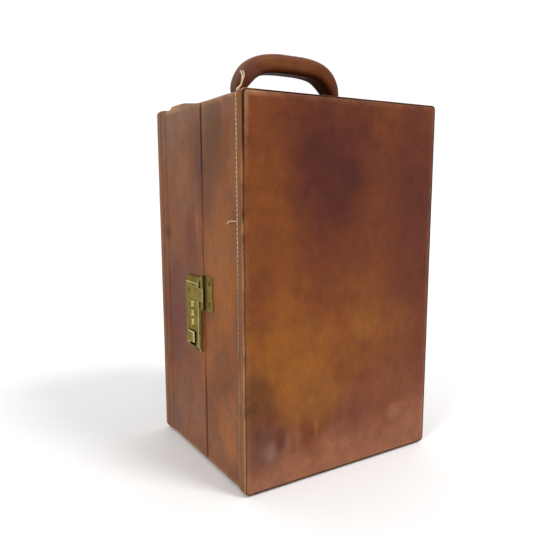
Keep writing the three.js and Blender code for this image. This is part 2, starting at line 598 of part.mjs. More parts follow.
function bracket(side) {
  const x = side * HANDLE_PIVOT_X;
  const plateZ = [WALL_TOP + GAP, WALL_TOP + GAP + 1.2];
  const plate = block([x - 13, x + 13], [HANDLE_Y - 6.5, HANDLE_Y + 6.5], plateZ);
  const ears = [-1, 1].flatMap((end) => {
    const ear = [x + end * 1.8, x + end * 3];
    return [
      block(ear, [HANDLE_Y - 4, HANDLE_Y + 4], [plateZ[0] + 0.5, HANDLE_PIVOT_Z]),
      rod(4, [Math.min(...ear), HANDLE_Y, HANDLE_PIVOT_Z], "x", 1.2, 16),
    ];
  });
  const bore = rod(HANDLE_PIN_RADIUS + BORE_CLEARANCE, [x - 6, HANDLE_Y, HANDLE_PIVOT_Z], "x", 12);
  const rivetHoles = [-1, 1].map((end) =>
    rod(HOLE, [x + end * HANDLE_RIVET_SPREAD, HANDLE_Y, WALL_TOP - 1], "z", 5));
  return cut(join(plate, ...ears), bore, ...rivetHoles);
}

function buildHandle() {
  add("handle_grip", grip(), GRIP_LEATHER);
  add("handle_frame", handleFrame(), STEEL);
  for (const [name, side] of [["front", -1], ["back", 1]]) {
    add(`handle_${name}_bracket`, bracket(side), BRASS);
    const pinStart = [side * HANDLE_PIVOT_X - 4.2, HANDLE_Y, HANDLE_PIVOT_Z];
    add(`handle_${name}_pin`, rod(HANDLE_PIN_RADIUS, pinStart, "x", 8.4), STEEL);
  }
  handleRivets.forEach((x, i) => {
    const length = WALL_SPAN + 3 * GAP + 1.2;
    const place = [x, HANDLE_Y, WALL_TOP + 2 * GAP + 1.2];
    add(`handle_rivet_${i + 1}`, point(rivet(2.5, 1.1, SHANK, length), [0, 0, 1], place), BRASS);
  });
}

// Glides: flat-bottomed domes nailed up through the bottom walls

function buildGlides() {
  const head = WALL_BOTTOM - GAP;
  const profile = [
    [0, 0], [GLIDE_RADIUS * 0.6, 0], [GLIDE_RADIUS, head * 0.7], [GLIDE_RADIUS, head], [SHANK, head],
    [SHANK, head + 5], [0, head + 5.5],
  ];
  for (const [half, places] of [["body", bodyGlides], ["lid", lidGlides]]) {
    places.forEach(([x, y], i) => add(`${half}_glide_${i + 1}`, turned(profile, 16).translate(x, y, 0), BRASS));
  }
}

buildHalf("body", 1, BODY_DEPTH, bodyHoles);
buildHalf("lid", -1, LID_DEPTH, lidHoles);
buildHinge();
buildLock();
buildHasp();
buildHandle();
buildGlides();

// The slider reaches further out than the hinge, so the case moves over to bring the bounding box to the middle
caseGroup.position.x = (LOCK_FRONT_X + SLIDER_PROUD - HINGE_X - HINGE_BARREL_RADIUS) / 2;

export default caseGroup;
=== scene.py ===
"""Looks for an upright leather case that opens like a book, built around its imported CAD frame.

Lengths in this script are in millimetres, in the frame's own axes, until mesh() turns them into metres.
+Z is up, -X is the lock side, +X the hinge side, -Y the lid's face and +Y the body's face.
"""
import json
import math

import bmesh
import bpy
import numpy as np
from mathutils import Euler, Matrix, Quaternion, Vector, noise

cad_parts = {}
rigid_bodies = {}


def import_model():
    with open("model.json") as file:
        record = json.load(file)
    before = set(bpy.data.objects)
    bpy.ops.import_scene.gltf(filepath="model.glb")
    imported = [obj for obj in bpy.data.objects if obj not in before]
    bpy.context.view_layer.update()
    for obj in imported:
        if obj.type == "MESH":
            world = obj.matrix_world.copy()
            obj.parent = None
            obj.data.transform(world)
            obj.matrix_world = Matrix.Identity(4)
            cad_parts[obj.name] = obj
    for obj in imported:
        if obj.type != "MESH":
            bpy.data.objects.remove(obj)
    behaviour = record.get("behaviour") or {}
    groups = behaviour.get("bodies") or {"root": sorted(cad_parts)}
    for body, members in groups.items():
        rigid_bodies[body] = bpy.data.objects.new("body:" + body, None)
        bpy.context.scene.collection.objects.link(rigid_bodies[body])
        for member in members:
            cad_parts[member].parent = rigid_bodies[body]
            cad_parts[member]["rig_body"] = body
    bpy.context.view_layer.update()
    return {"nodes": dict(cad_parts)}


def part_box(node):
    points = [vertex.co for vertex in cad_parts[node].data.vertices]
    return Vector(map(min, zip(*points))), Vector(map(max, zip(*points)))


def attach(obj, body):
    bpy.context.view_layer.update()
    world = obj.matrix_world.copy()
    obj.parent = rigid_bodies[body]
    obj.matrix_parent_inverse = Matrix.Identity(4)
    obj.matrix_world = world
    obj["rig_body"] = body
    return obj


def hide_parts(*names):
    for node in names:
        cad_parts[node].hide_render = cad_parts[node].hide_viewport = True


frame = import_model()

MM = 0.001


def node_box(node):
    """Lowest and highest corner of a CAD node, in millimetres."""
    low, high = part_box(node)
    return np.array(low) / MM, np.array(high) / MM


# Places taken from the frame: the halves' outer size, and the lid's and the body's faces and rims
BINDING_LOW, BINDING_HIGH = node_box("lid_edge_binding")
FACE_LOW, _ = node_box("lid_face_leather")
_, FACE_HIGH = node_box("body_face_leather")
CENTRE_X = (BINDING_LOW[0] + BINDING_HIGH[0]) / 2
CENTRE_Z = (BINDING_LOW[2] + BINDING_HIGH[2]) / 2
HALF_WIDTH = (BINDING_HIGH[0] - BINDING_LOW[0]) / 2
HALF_HEIGHT = (BINDING_HIGH[2] - BINDING_LOW[2]) / 2
FRONT_X = BINDING_LOW[0]
TOP_Z = BINDING_HIGH[2]
FACE_Y = {"lid": FACE_LOW[1], "body": FACE_HIGH[1]}
RIM_Y = {"lid": node_box("lid_wall_leather")[1][1], "body": node_box("body_wall_leather")[0][1]}
HALVES = ("lid", "body")
SIDE = {"lid": -1, "body": 1}

# The make-up of the leather work. An inset is how far a surface lies inside the binding's outline.
CORNER = 5.0
WALL_INSET = 1.2
LEATHER = 1.5
BINDING_WIDTH = 15.5
BODY_BINDING_WIDTH = 25.0
STITCH_LINE = 12.0  # from the face
STITCH_PITCH = 4.5
BOARD_INNER = 9.9  # inset of the boards' inner side
LINING_INSET = 10.4
PANEL_INSET = 1.15
PANEL_THICKNESS = 2.4
RIM_SWELL = 0.8  # how far the leather stands past the rim


# Colours, given as they look on a screen

def srgb(red, green, blue):
    """A screen colour of three numbers, from 11 to 255, as linear light."""
    return tuple(((c / 255 + 0.055) / 1.055) ** 2.4 for c in (red, green, blue))


# What the studio's light adds to leather as sheen, and how much of its own colour it shows
SHEEN = (0.030, 0.024, 0.022)
LIGHT = (1.10, 1.08, 1.05)


def hide(red, green, blue):
    """The colour leather has of its own if it looks like this in the studio."""
    return tuple(
        max((c - sheen) / light, 0.004) for c, sheen, light in zip(srgb(red, green, blue), SHEEN, LIGHT))


# Shapes

def waves(points, size, seed):
    """Smooth noise from -1 to 1 at each point, with features about as large as size."""
    return np.array([noise.noise(Vector(p) / size + Vector((seed, -seed, 0.37 * seed))) for p in points])


def smooth(x, low, high):
    """0 before low, 1 after high, and an even rise between them. low may be the larger one."""
    t = np.clip((x - low) / (high - low), 0, 1)
    return t * t * (3 - 2 * t)


def mesh(name, points, faces):
    """A smooth-shaded mesh object from points in millimetres, with its faces turned outward."""
    data = bpy.data.meshes.new(name)
    data.from_pydata([tuple(p) for p in np.asarray(points) * MM], [], [tuple(f) for f in faces])
    bm = bmesh.new()
    bm.from_mesh(data)
    bmesh.ops.recalc_face_normals(bm, faces=bm.faces)
    bm.to_mesh(data)
    bm.free()
    data.shade_smooth()
    return linked(name, data)


def loft_faces(rings, sides, closed_rows, closed_sides=True):
    """Quads between rings of points, which may join up from the last ring to the first."""
    faces = []
    for i in range(rings if closed_rows else rings - 1):
        for j in range(sides if closed_sides else sides - 1):
            a, b = i * sides, (i + 1) % rings * sides
            k = (j + 1) % sides
            faces.append((a + j, a + k, b + k, b + j))
    return faces


class Shape:
    """Points and faces gathered from several solids, to make one mesh of."""

    def __init__(self):
        self.points, self.faces = [], []

    def add(self, points, faces):
        """Points and faces, whose numbers count from the first of these points."""
        start = len(self.points)
        self.points += [tuple(p) for p in points]
        self.faces += [tuple(start + i for i in f) for f in faces]

    def rings(self, rings):
        """A solid through rings of points, with flat ends."""
        sides = len(rings[0])
        faces = loft_faces(len(rings), sides, False)
        last = (len(rings) - 1) * sides
        faces += [tuple(reversed(range(sides))), tuple(last + j for j in range(sides))]
        self.add([p for ring in rings for p in ring], faces)

    def turned(self, profile, place, direction=(0, 0, 1), sides=32):
        """A solid of revolution from (radius, height) pairs, pointing along a direction."""
        turn = Vector((0, 0, 1)).rotation_difference(Vector(direction))
        angles = [2 * math.pi * j / sides for j in range(sides)]
        self.rings([[
            Vector(place) + turn @ Vector((r * math.cos(a), r * math.sin(a), h)) for a in angles
        ] for r, h in profile])

    def tube(self, line, radius, sides):
        """A round tube along a line of points, with ends that close in."""
        line = [Vector(p) for p in line]
        last, end_share = len(line) - 1, 0.35
        rings = []
        for i, p in enumerate(line):
            along = (line[min(i + 1, last)] - line[max(i - 1, 0)]).normalized()
            across = across - across.dot(along) * along if rings else along.orthogonal()
            across = across.normalized()
            other = along.cross(across)
            r = radius * (end_share if i in (0, last) else 1)
            rings.append([
                p + r * (math.cos(a) * across + math.sin(a) * other)
                for a in (2 * math.pi * j / sides for j in range(sides))])
        self.rings(rings)

    def box(self, low, high):
        """A box between its lowest and highest corners."""
        corners = [(x, y, z) for x in (low[0], high[0]) for y in (low[1], high[1])
                   for z in (low[2], high[2])]
        self.add(corners, [
            (0, 1, 3, 2), (4, 6, 7, 5), (0, 4, 5, 1), (2, 3, 7, 6), (0, 2, 6, 4), (1, 5, 7, 3)])

    def made(self, name):
        return mesh(name, self.points, self.faces)


def curve_points(controls, per_span):
    """A smooth line through control points, as a Catmull-Rom spline."""
    before = 2 * np.array(controls[0]) - controls[1]
    after = 2 * np.array(controls[-1]) - controls[-2]
    p = np.array([before, *controls, after])
    line = []
    for i in range(1, len(p) - 2):
        a, b, c, d = p[i - 1:i + 3]
        for t in np.linspace(0, 1, per_span, endpoint=False):
            squared, cubed = 2 * a - 5 * b + 4 * c - d, 3 * b - a - 3 * c + d
            line.append(0.5 * (2 * b + (c - a) * t + squared * t ** 2 + cubed * t ** 3))
    return [*line, p[-2]]


def apply_modifiers(piece):
    """Bakes a piece's modifiers into its mesh."""
    graph = bpy.context.evaluated_depsgraph_get()
    made = bpy.data.meshes.new_from_object(piece.evaluated_get(graph))
    piece.modifiers.clear()
    piece.data = made


def combine(piece, shape, operation):
    """Joins a shape to a piece or cuts it out of the piece, which comes out with no materials."""
    tool = shape.made("tool")
    boolean = piece.modifiers.new("combine", "BOOLEAN")
    boolean.operation, boolean.solver, boolean.object = operation, "EXACT", tool
    apply_modifiers(piece)
    bpy.data.objects.remove(tool)
    piece.data.materials.clear()


def carve(piece, low, high):
    """Cuts a box out of a piece."""
    cutter = Shape()
    cutter.box(low, high)
    combine(piece, cutter, "DIFFERENCE")


def stands_for(piece, node, slot, *materials):
    """Gives a piece its materials, puts it in a CAD node's place by hiding that node, and puts it on that
    node's body.
    """
    for material in materials:
        piece.data.materials.append(material)
    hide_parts(node)
    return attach(piece, frame["nodes"][node]["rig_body"])


def edges_where(piece, test):
    """1 for each edge of a piece whose two ends, in millimetres, pass a test, and 0 for the others."""
    places = np.array([v.co for v in piece.data.vertices]) / MM
    return np.array([float(test(*places[list(edge.vertices)])) for edge in piece.data.edges], np.float32)


def rounded_edges(piece, width, segments=3, angle=30, rubbed_glint=False, picked=None):
    """Rounds a piece's sharp edges, or only the picked ones. The rounded edges may take the second material,
    a brighter brass: partly real rubbed wear, partly painted glints.
    """
    bevel = piece.modifiers.new("bevel", "BEVEL")
    bevel.width, bevel.segments = width * MM, segments
    bevel.limit_method, bevel.angle_limit = "ANGLE", math.radians(angle)
    bevel.use_clamp_overlap = True
    bevel.material = 1 if rubbed_glint else -1
    if picked is not None:
        piece.data.attributes.new("bevel_weight_edge", "FLOAT", "EDGE").data.foreach_set("value", picked)
        bevel.limit_method = "WEIGHT"
    apply_modifiers(piece)
    if picked is not None:
        piece.data.attributes.remove(piece.data.attributes["bevel_weight_edge"])
    piece.modifiers.new("normals", "WEIGHTED_NORMAL").keep_sharp = True
    return piece


def linked(name, data):
    """A new object in the scene."""
    made = bpy.data.objects.new(name, data)
    bpy.context.scene.collection.objects.link(made)
    return made


def edged(node, materials, slot, width, added=None, rim=None):
    """A new piece with a CAD node's shape and rounded edges, which stands for that node. Added is a Shape of
    solids to join to it first. A second material is for the rounded edges. A rim is a width and a test of an
    edge's two ends, for edges to round first by that width."""
    name = f"{node}_finished"
    data = frame["nodes"][node].data.copy()
    data.name = name
    data.materials.clear()
    piece = linked(name, data)
    bm = bmesh.new()
    bm.from_mesh(data)
    bmesh.ops.remove_doubles(bm, verts=bm.verts, dist=1e-6)
    bmesh.ops.dissolve_limit(bm, angle_limit=math.radians(1), verts=bm.verts, edges=bm.edges)
    bmesh.ops.recalc_face_normals(bm, faces=bm.faces)
    bm.to_mesh(data)
    bm.free()
    if added:
        combine(piece, added, "UNION")
    for material in materials:
        piece.data.materials.append(material)
    piece.data.shade_smooth()
    if rim:
        rim_width, on_rim = rim
        rounded_edges(piece, rim_width, rubbed_glint=True, picked=edges_where(piece, on_rim))
        piece.modifiers.clear()
    rounded_edges(piece, width, rubbed_glint=len(materials) > 1)
    return stands_for(piece, node, slot)


# Materials

class Shader:
    """A new material's or world's nodes, made one at a time. An input takes a value or a node's output."""

    def __init__(self, name, kind=bpy.data.materials):
        self.owner = kind.new(name)
        self.owner.use_nodes = True
        self.tree = self.owner.node_tree
        self.tree.nodes.clear()
        self.where = self.node("ShaderNodeTexCoord").outputs["Object"]

    def node(self, kind, inputs=None, **settings):
        made = self.tree.nodes.new(kind)
        for key, value in settings.items():
            setattr(made, key, value)
        for key, value in (inputs or {}).items():
            if isinstance(value, bpy.types.NodeSocket):
                self.tree.links.new(value, made.inputs[key])
            else:
                made.inputs[key].default_value = value
        return made

    def noise(self, scale, detail=4.0, roughness=0.55, distortion=0.0, where=None):
        inputs = {"Vector": where or self.where, "Scale": scale, "Detail": detail,
                  "Roughness": roughness, "Distortion": distortion}
        return self.node("ShaderNodeTexNoise", inputs).outputs["Fac"]

    def cells(self, scale, feature="F1"):
        inputs = {"Vector": self.where, "Scale": scale}
        return self.node("ShaderNodeTexVoronoi", inputs, feature=feature).outputs["Distance"]

    def bands(self, direction, scale, distortion):
        inputs = {"Vector": self.where, "Scale": scale, "Distortion": distortion, "Detail": 1.0}
        return self.node("ShaderNodeTexWave", inputs, bands_direction=direction).outputs["Fac"]

    def stretched(self, scale):
        inputs = {"Vector": self.where, "Scale": scale}
        return self.node("ShaderNodeMapping", inputs).outputs["Vector"]

    def span(self, value, low, high, to_low=0.0, to_high=1.0):
        inputs = {"Value": value, "From Min": low, "From Max": high, "To Min": to_low, "To Max": to_high}
        return self.node("ShaderNodeMapRange", inputs, interpolation_type="SMOOTHSTEP").outputs["Result"]

    def math(self, operation, a, b):
        return self.node("ShaderNodeMath", {0: a, 1: b}, operation=operation).outputs[0]

    def mix(self, factor, a, b, blend="MIX"):
        made = self.node("ShaderNodeMix", data_type="RGBA", blend_type=blend)
        for socket, value in ((made.inputs[0], factor), (made.inputs[6], a), (made.inputs[7], b)):
            if isinstance(value, bpy.types.NodeSocket):
                self.tree.links.new(value, socket)
            else:
                socket.default_value = (*value, 1.0) if isinstance(value, tuple) else value
        return made.outputs[2]

    def attribute(self, name, output="Color"):
        return self.node("ShaderNodeAttribute", attribute_name=name).outputs[output]

    def bump(self, height, distance, strength=1.0, under=None):
        inputs = {"Height": height, "Distance": distance * MM, "Strength": strength}
        if under:
            inputs["Normal"] = under
        return self.node("ShaderNodeBump", inputs).outputs["Normal"]

    def finish(self, inputs, shader="ShaderNodeBsdfPrincipled", output="ShaderNodeOutputMaterial"):
        self.node(output, {"Surface": self.node(shader, inputs).outputs[0]})
        return self.owner


def leather(name, grain, shine, mottle, gloss):
    """Aged, waxed leather. Its colour is painted on the mesh as "tone", and "wear" shows bare edges."""
    s = Shader(name)
    cloud = s.noise(38, 7, 0.62, 0.7)
    streak = s.noise(30, 5, 0.6, 1.2, s.stretched((1.6, 1.6, 0.8)))
    speck = s.noise(420, 3, 0.7)
    pores = s.cells(760)
    creases = s.cells(240, "DISTANCE_TO_EDGE")
    clouds = s.mix(s.span(cloud, 0.32, 0.68), (0.50, 0.44, 0.42), (1.45, 1.5, 1.5))
    streaks = s.mix(s.span(streak, 0.36, 0.62), (0.62, 0.55, 0.54), (1.28, 1.32, 1.3))
    specks = s.mix(s.span(speck, 0.3, 0.7), (0.78, 0.76, 0.76), (1.2, 1.2, 1.2))
    colour = s.mix(mottle, s.attribute("tone"), clouds, "MULTIPLY")
    colour = s.mix(mottle * 0.8, colour, streaks, "MULTIPLY")
    colour = s.mix(0.22, colour, specks, "MULTIPLY")
    worn = s.math("MULTIPLY", s.attribute("wear", "Fac"), s.span(cloud, 0.3, 0.62))
    colour = s.mix(worn, colour, srgb(176, 132, 92))
    # Darker along the grain's creases: painted shade.
    colour = s.mix(s.span(creases, 0.0, 0.07, 0.22, 0.0), colour, (0.02, 0.008, 0.005))
    roughness = s.math("ADD", s.span(cloud, 0.25, 0.75, -0.07, 0.09), shine)
    swells = s.bump(s.noise(150, 4, 0.6), 0.35 * grain)
    skin = s.math("ADD", s.math("MULTIPLY", pores, 0.5), s.span(creases, 0.0, 0.12))
    relief = s.bump(skin, 0.10 * grain, 0.8, swells)
    return s.finish({
        "Base Color": colour, "Roughness": roughness, "Normal": relief, "Specular IOR Level": gloss})


def thread():
    """Waxed linen thread, whose colour is painted on the mesh as "tone"."""
    s = Shader("waxed_thread")
    twist = s.bands("DIAGONAL", 900, 1.5)
    colour = s.mix(s.span(twist, 0.2, 0.8, 0.0, 0.35), s.attribute("tone"), (0.16, 0.10, 0.06))
    return s.finish({"Base Color": colour, "Roughness": 0.75, "Normal": s.bump(twist, 0.12)})


def metal(name, colour, dark, roughness, tarnish, brushed=(1, 1, 1), edge=(0.9, 0.84, 0.62)):
    """Plated metal with fine brush marks, dull patches and darker tarnish. Edge tints it at a low angle."""
    s = Shader(name)
    patches = s.noise(70, 7, 0.7, 0.3)
    marks = s.noise(900, 3, 0.6, 0.0, s.stretched(brushed))
    specks = s.noise(1500, 2, 0.5)
    shade = s.mix(s.span(patches, 0.42, 0.7, 0.0, tarnish), colour, dark)
    shade = s.mix(s.span(specks, 0.64, 0.75, 0.0, 0.3), shade, dark)
    scuffs = s.span(marks, 0.3, 0.7, roughness, roughness + 0.08)
    rough = s.math("ADD", s.span(patches, 0.3, 0.7, -0.05, 0.16), scuffs)
    return s.finish({
        "Base Color": shade, "Metallic": 1.0, "Roughness": rough, "Specular Tint": (*edge, 1),
        "Normal": s.bump(marks, 0.004)})


def cloth():
    """Brown twill lining."""
    s = Shader("lining_twill")
    ribs = [s.bands(axis, 520, 0.6) for axis in ("X", "Y", "Z")]
    weave = s.math("MULTIPLY", s.math("ADD", ribs[0], ribs[1]), ribs[2])
    cloud = s.noise(30, 5, 0.6)
    colour = s.mix(s.span(cloud, 0.3, 0.7), srgb(96, 70, 48), srgb(124, 94, 66))
    colour = s.mix(s.span(weave, 0.1, 1.0, 0.45, 0.0), colour, srgb(58, 40, 28))
    return s.finish({
        "Base Color": colour, "Roughness": 0.92, "Normal": s.bump(weave, 0.25), "Sheen Weight": 0.25})


def plywood():
    """Pale plywood with its long grain upright."""
    s = Shader("poplar_plywood")
    grain = s.noise(70, 6, 0.6, 0.5, s.stretched((1.0, 1.0, 0.08)))
    colour = s.mix(s.span(grain, 0.3, 0.7), srgb(176, 140, 96), srgb(206, 174, 128))
    return s.finish({"Base Color": colour, "Roughness": 0.75, "Normal": s.bump(grain, 0.1)})


def enamel():
    """Black paint in the dial figures."""
    s = Shader("figure_enamel")
    return s.finish({"Base Color": s.mix(s.noise(800), srgb(24, 22, 20), srgb(44, 40, 34)), "Roughness": 0.5})


WALL = leather("aged_wall_leather", 1.0, 0.44, 0.28, 0.12)
PANEL = leather("aged_panel_leather", 0.9, 0.46, 0.22, 0.2)
BINDING = leather("aged_binding_leather", 0.8, 0.44, 0.28, 0.14)
GRIP = leather("worn_grip_leather", 0.7, 0.46, 0.2, 0.15)
THREAD = thread()
BRASS = metal("aged_brass", srgb(121, 105, 56), srgb(78, 62, 36), 0.27, 0.7, edge=(0.80, 0.74, 0.54))
# Bright brass for rounded edges and screws: partly real rubbed wear, and on the edges partly painted glints.
RUBBED_GLINT_BRASS = metal("rubbed_glint_brass", srgb(228, 220, 166), srgb(160, 148, 92), 0.1, 0.4, edge=(1, 0.97, 0.85))
DIAL_BRASS = metal("dial_brass", srgb(188, 180, 106), srgb(130, 118, 60), 0.18, 0.3, (1, 1, 6))
STEEL = metal("drawn_steel", srgb(176, 176, 178), srgb(112, 110, 108), 0.3, 0.4, (1, 1, 0.2), (0.9, 0.9, 0.9))
TWILL = cloth()
PLYWOOD = plywood()
ENAMEL = enamel()


# Painting

REDDISH = hide(118, 66, 41)
DARK = hide(94, 53, 43)
GOLDEN = hide(150, 93, 43)


def painted(piece, colours, wear=None):
    """Stores a colour for each point, and how worn it is."""
    with_alpha = np.column_stack([colours, np.ones(len(colours))]).astype(np.float32)
    piece.data.attributes.new("tone", "FLOAT_COLOR", "POINT").data.foreach_set("color", with_alpha.ravel())
    if wear is not None:
        worn = piece.data.attributes.new("wear", "FLOAT", "POINT")
        worn.data.foreach_set("value", wear.astype(np.float32))


def tinted(colours, colour, share):
    """Colours drawn towards another colour by a share for each point."""
    share = np.reshape(share, (-1, 1))
    return colours * (1 - share) + np.array(colour) * share


def blotched(places, base, blotches, ragged=0.30):
    """Colours for places in a plane: soft-edged ragged blotches over a base colour. A blotch is its centre,
    radii, colour and strength."""
    flat = [(a, b, 0) for a, b in places]
    edge = ragged * waves(flat, 34, 3.1) + 0.5 * ragged * waves(flat, 13, 7.7)
    colours = np.tile(np.array(base), (len(places), 1))
    for centre, radii, colour, strength in blotches:
        distance = np.hypot(*((places - np.array(centre)) / np.array(radii)).T) + edge
        colours = tinted(colours, colour, strength * smooth(distance, 1.25, 0.25))
    return colours


def mottled(points, seed):
    """Colours for a surface with no special marks: drifts of golden and dark brown over reddish brown."""
    gold = smooth(waves(points, 85, seed), 0.0, 0.55) * 0.75
    dark = smooth(waves(points, 70, seed + 4), 0.05, 0.5) * 0.75
    return tinted(tinted(np.array(REDDISH), GOLDEN, gold), DARK, dark)


# Blotches on the lid's face: a place and radii, as shares of its width from the lock side and of its height
# from the top, then a look and a strength
PANEL_MARKS = [
    (0.09, 0.32, 0.22, 0.30, (131, 76, 34), 0.9),
    (0.22, 0.66, 0.36, 0.17, (152, 94, 43), 0.9),
    (0.62, 0.61, 0.32, 0.17, (138, 82, 40), 0.75),
    (0.62, 0.60, 0.11, 0.06, (148, 94, 42), 0.6),
    (0.42, 0.17, 0.27, 0.22, (92, 52, 44), 0.95),
    (0.91, 0.24, 0.24, 0.27, (101, 56, 45), 0.85),
    (0.96, 0.46, 0.13, 0.17, (105, 58, 42), 0.7),
    (0.82, 0.49, 0.12, 0.06, (101, 58, 41), 0.5),
    (0.32, 0.79, 0.24, 0.10, (147, 94, 51), 0.7),
    (0.76, 0.83, 0.34, 0.13, (133, 79, 55), 0.75),
    # A lighter band along the bottom: partly the leather's own colour, partly painted light from the floor's
    # bounce.
    (0.50, 1.00, 1.00, 0.13, (156, 101, 75), 0.95),
    (0.95, 0.93, 0.22, 0.10, (150, 96, 71), 0.7),
    (0.04, 0.76, 0.10, 0.11, (106, 68, 44), 0.85),
    (0.07, 0.88, 0.15, 0.09, (113, 79, 68), 0.7),
    (0.55, 0.86, 0.13, 0.06, (123, 75, 62), 0.5),
    (0.04, 0.46, 0.06, 0.05, (110, 66, 45), 0.5),
    (0.05, 0.845, 0.025, 0.03, (96, 60, 48), 0.6),
    (0.16, 0.865, 0.030, 0.04, (102, 60, 49), 0.7),
    (0.11, 0.900, 0.035, 0.03, (140, 106, 90), 0.6),
    (0.20, 0.900, 0.018, 0.04, (152, 101, 77), 0.5),
    (0.25, 0.890, 0.018, 0.05, (152, 98, 70), 0.6),
    (0.30, 0.870, 0.016, 0.05, (118, 70, 52), 0.6),
    (0.345, 0.865, 0.020, 0.05, (154, 98, 64), 0.6),
    (0.78, 0.880, 0.050, 0.03, (160, 106, 76), 0.5),
    (0.10, 0.985, 0.12, 0.03, (150, 104, 80), 0.6),
]

# Blotches on the lock side, across in millimetres from the lid's face and down in shares of its height
WALL_MARKS = [
    # The first two marks, light and greyish along the top, are painted sheen.
    (109, 0.00, 150, 0.08, (134, 102, 86), 0.7),
    (190, 0.06, 46, 0.12, (128, 100, 86), 0.7),
    (145, 0.20, 28, 0.13, (132, 94, 68), 0.7),
    (62, 0.12, 26, 0.12, (106, 74, 54), 0.9),
    (84, 0.24, 24, 0.09, (108, 68, 46), 0.7),
    (18, 0.15, 15, 0.12, (140, 100, 64), 0.7),
    (45, 0.46, 44, 0.26, (150, 97, 50), 0.95),
    (124, 0.38, 26, 0.10, (112, 64, 42), 0.85),
    (178, 0.60, 54, 0.20, (108, 60, 38), 1.0),
    (194, 0.36, 15, 0.025, (84, 58, 40), 0.8),
    (211, 0.28, 10, 0.24, (138, 102, 78), 0.7),
    # A painted highlight along the leather's bulge beside the seam.
    (108, 0.27, 8, 0.13, (144, 100, 74), 0.8),
    (92, 0.70, 24, 0.13, (146, 94, 56), 0.8),
    (104, 0.16, 15, 0.15, (98, 66, 56), 0.8),
    (109, 1.00, 160, 0.22, (142, 101, 80), 0.9),
    (196, 0.93, 40, 0.08, (116, 88, 76), 0.6),
    (150, 0.80, 34, 0.07, (126, 86, 66), 0.6),
    (30, 0.84, 34, 0.10, (158, 108, 72), 0.8),
]

# The lock side's colours are made a little redder and less blue than the panels': a lighting correction
# painted into the colour, to cancel the grey sheen this side catches at a low angle
LOCK_SIDE_LIGHT_TINT = (1.13, 0.96, 0.76)


def spread_out(marks, width, height):
    """Blotches in millimetres, from marks in shares of a width and a height."""
    return [((a * width, b * height), (across * width, down * height), hide(*look), strength)
            for a, b, across, down, look, strength in marks]


# Leather work

def axis_stops(half, rolled, step):
    """Places across a panel: close together where its edge rolls over, evenly spaced inside."""
    inner = half - rolled[-1]
    count = int(2 * inner / step)
    middle = [-inner + 2 * inner * i / count for i in range(1, count)]
    return [*(-half + d for d in rolled), *middle, *(half - d for d in reversed(rolled))]


def face_panel(half):
    """The leather over the outer face: flat inside, crowned along its edge, and rolled over at the border."""
    side = SIDE[half]
    half_x, half_z = HALF_WIDTH - PANEL_INSET, HALF_HEIGHT - PANEL_INSET
    radius, rolled = 4.5, [0, 0.25, 0.7, 1.3, 2.1, 3.1, 4.4, 6.2, 8.5, 11.5]
    xs, zs = axis_stops(half_x, rolled, 2.6), axis_stops(half_z, rolled, 2.6)
    x, z = (a.ravel() for a in np.meshgrid(xs, zs, indexing="ij"))
    border = np.minimum(half_x - abs(x), half_z - abs(z))
    u, v = abs(x) - (half_x - radius), abs(z) - (half_z - radius)
    corner = (u > 0) & (v > 0)
    shrink = np.where(corner, np.maximum(u, v) / np.maximum(np.hypot(u, v), 1e-9), 1)
    x = np.where(corner, np.sign(x) * (half_x - radius + u * shrink), x)
    z = np.where(corner, np.sign(z) * (half_z - radius + v * shrink), z)
    rubbed_edge = smooth(x, 9 - half_x, 3 - half_x) * smooth(z, half_z - 50, half_z - 90)
    roll = 1.9 - 1.1 * rubbed_edge
    depth = roll - np.sqrt(np.maximum(roll ** 2 - np.maximum(roll - border, 0) ** 2, 0))
    crown = 0.45 * smooth(border, 0.5, 6) * smooth(border, 22, 7)
    flat = np.column_stack([x, np.zeros(len(x)), z])
    slack = (0.28 * waves(flat, 60, 2.0 + side) + 0.10 * waves(flat, 17, 5.0)) * smooth(border, 1, 14)
    y = FACE_Y[half] - side * (depth + 0.4 - crown - slack)
    parted = smooth(z, half_z - 95, half_z - 6) * smooth(x, 12 - half_x, 1 - half_x) * (half == "lid")
    points = np.column_stack([x + CENTRE_X + parted, y, z + CENTRE_Z])

    rows, columns = len(xs), len(zs)
    faces = loft_faces(rows, columns, False, False)
    around = [i * columns for i in range(rows)]
    around += [(rows - 1) * columns + j for j in range(1, columns)]
    around += [i * columns + columns - 1 for i in range(rows - 2, -1, -1)]
    around += list(range(columns - 2, 0, -1))
    back = points[around].copy()
    back[:, 1] = FACE_Y[half] - side * PANEL_THICKNESS
    start, count = len(points), len(around)
    for i in range(count):
        following = (i + 1) % count
        faces.append((around[i], around[following], start + following, start + i))
    faces.append(tuple(start + i for i in range(count)))
    piece = mesh(f"{half}_face_panel", np.vstack([points, back]), faces)

    edge_wear = smooth(border, 7, 2) * smooth(border, 0.2, 1.2)
    high_corner = smooth(z, half_z - 60, half_z - 4) * smooth(x, 70 - half_x, 4 - half_x)
    wear = np.append(edge_wear * (0.12 + 0.5 * high_corner), np.zeros(count))
    if half == "lid":
        places = np.column_stack([x + half_x, half_z - z])
        colours = blotched(places, REDDISH, spread_out(PANEL_MARKS, 2 * half_x, 2 * half_z))
    else:
        colours = mottled(points, 11.0)
    # Painted shade where the panel's edge rolls down into the groove beside the binding, weaker low on the
    # lock side.
    groove_shade = 0.85 * smooth(border, 0.7, 0.1) * (1 - 0.8 * rubbed_edge)
    colours = tinted(colours, hide(62, 36, 34), groove_shade)
    painted(piece, np.vstack([colours, colours[around]]), wear)
    stands_for(piece, f"{half}_face_leather", "face_leather", PANEL)


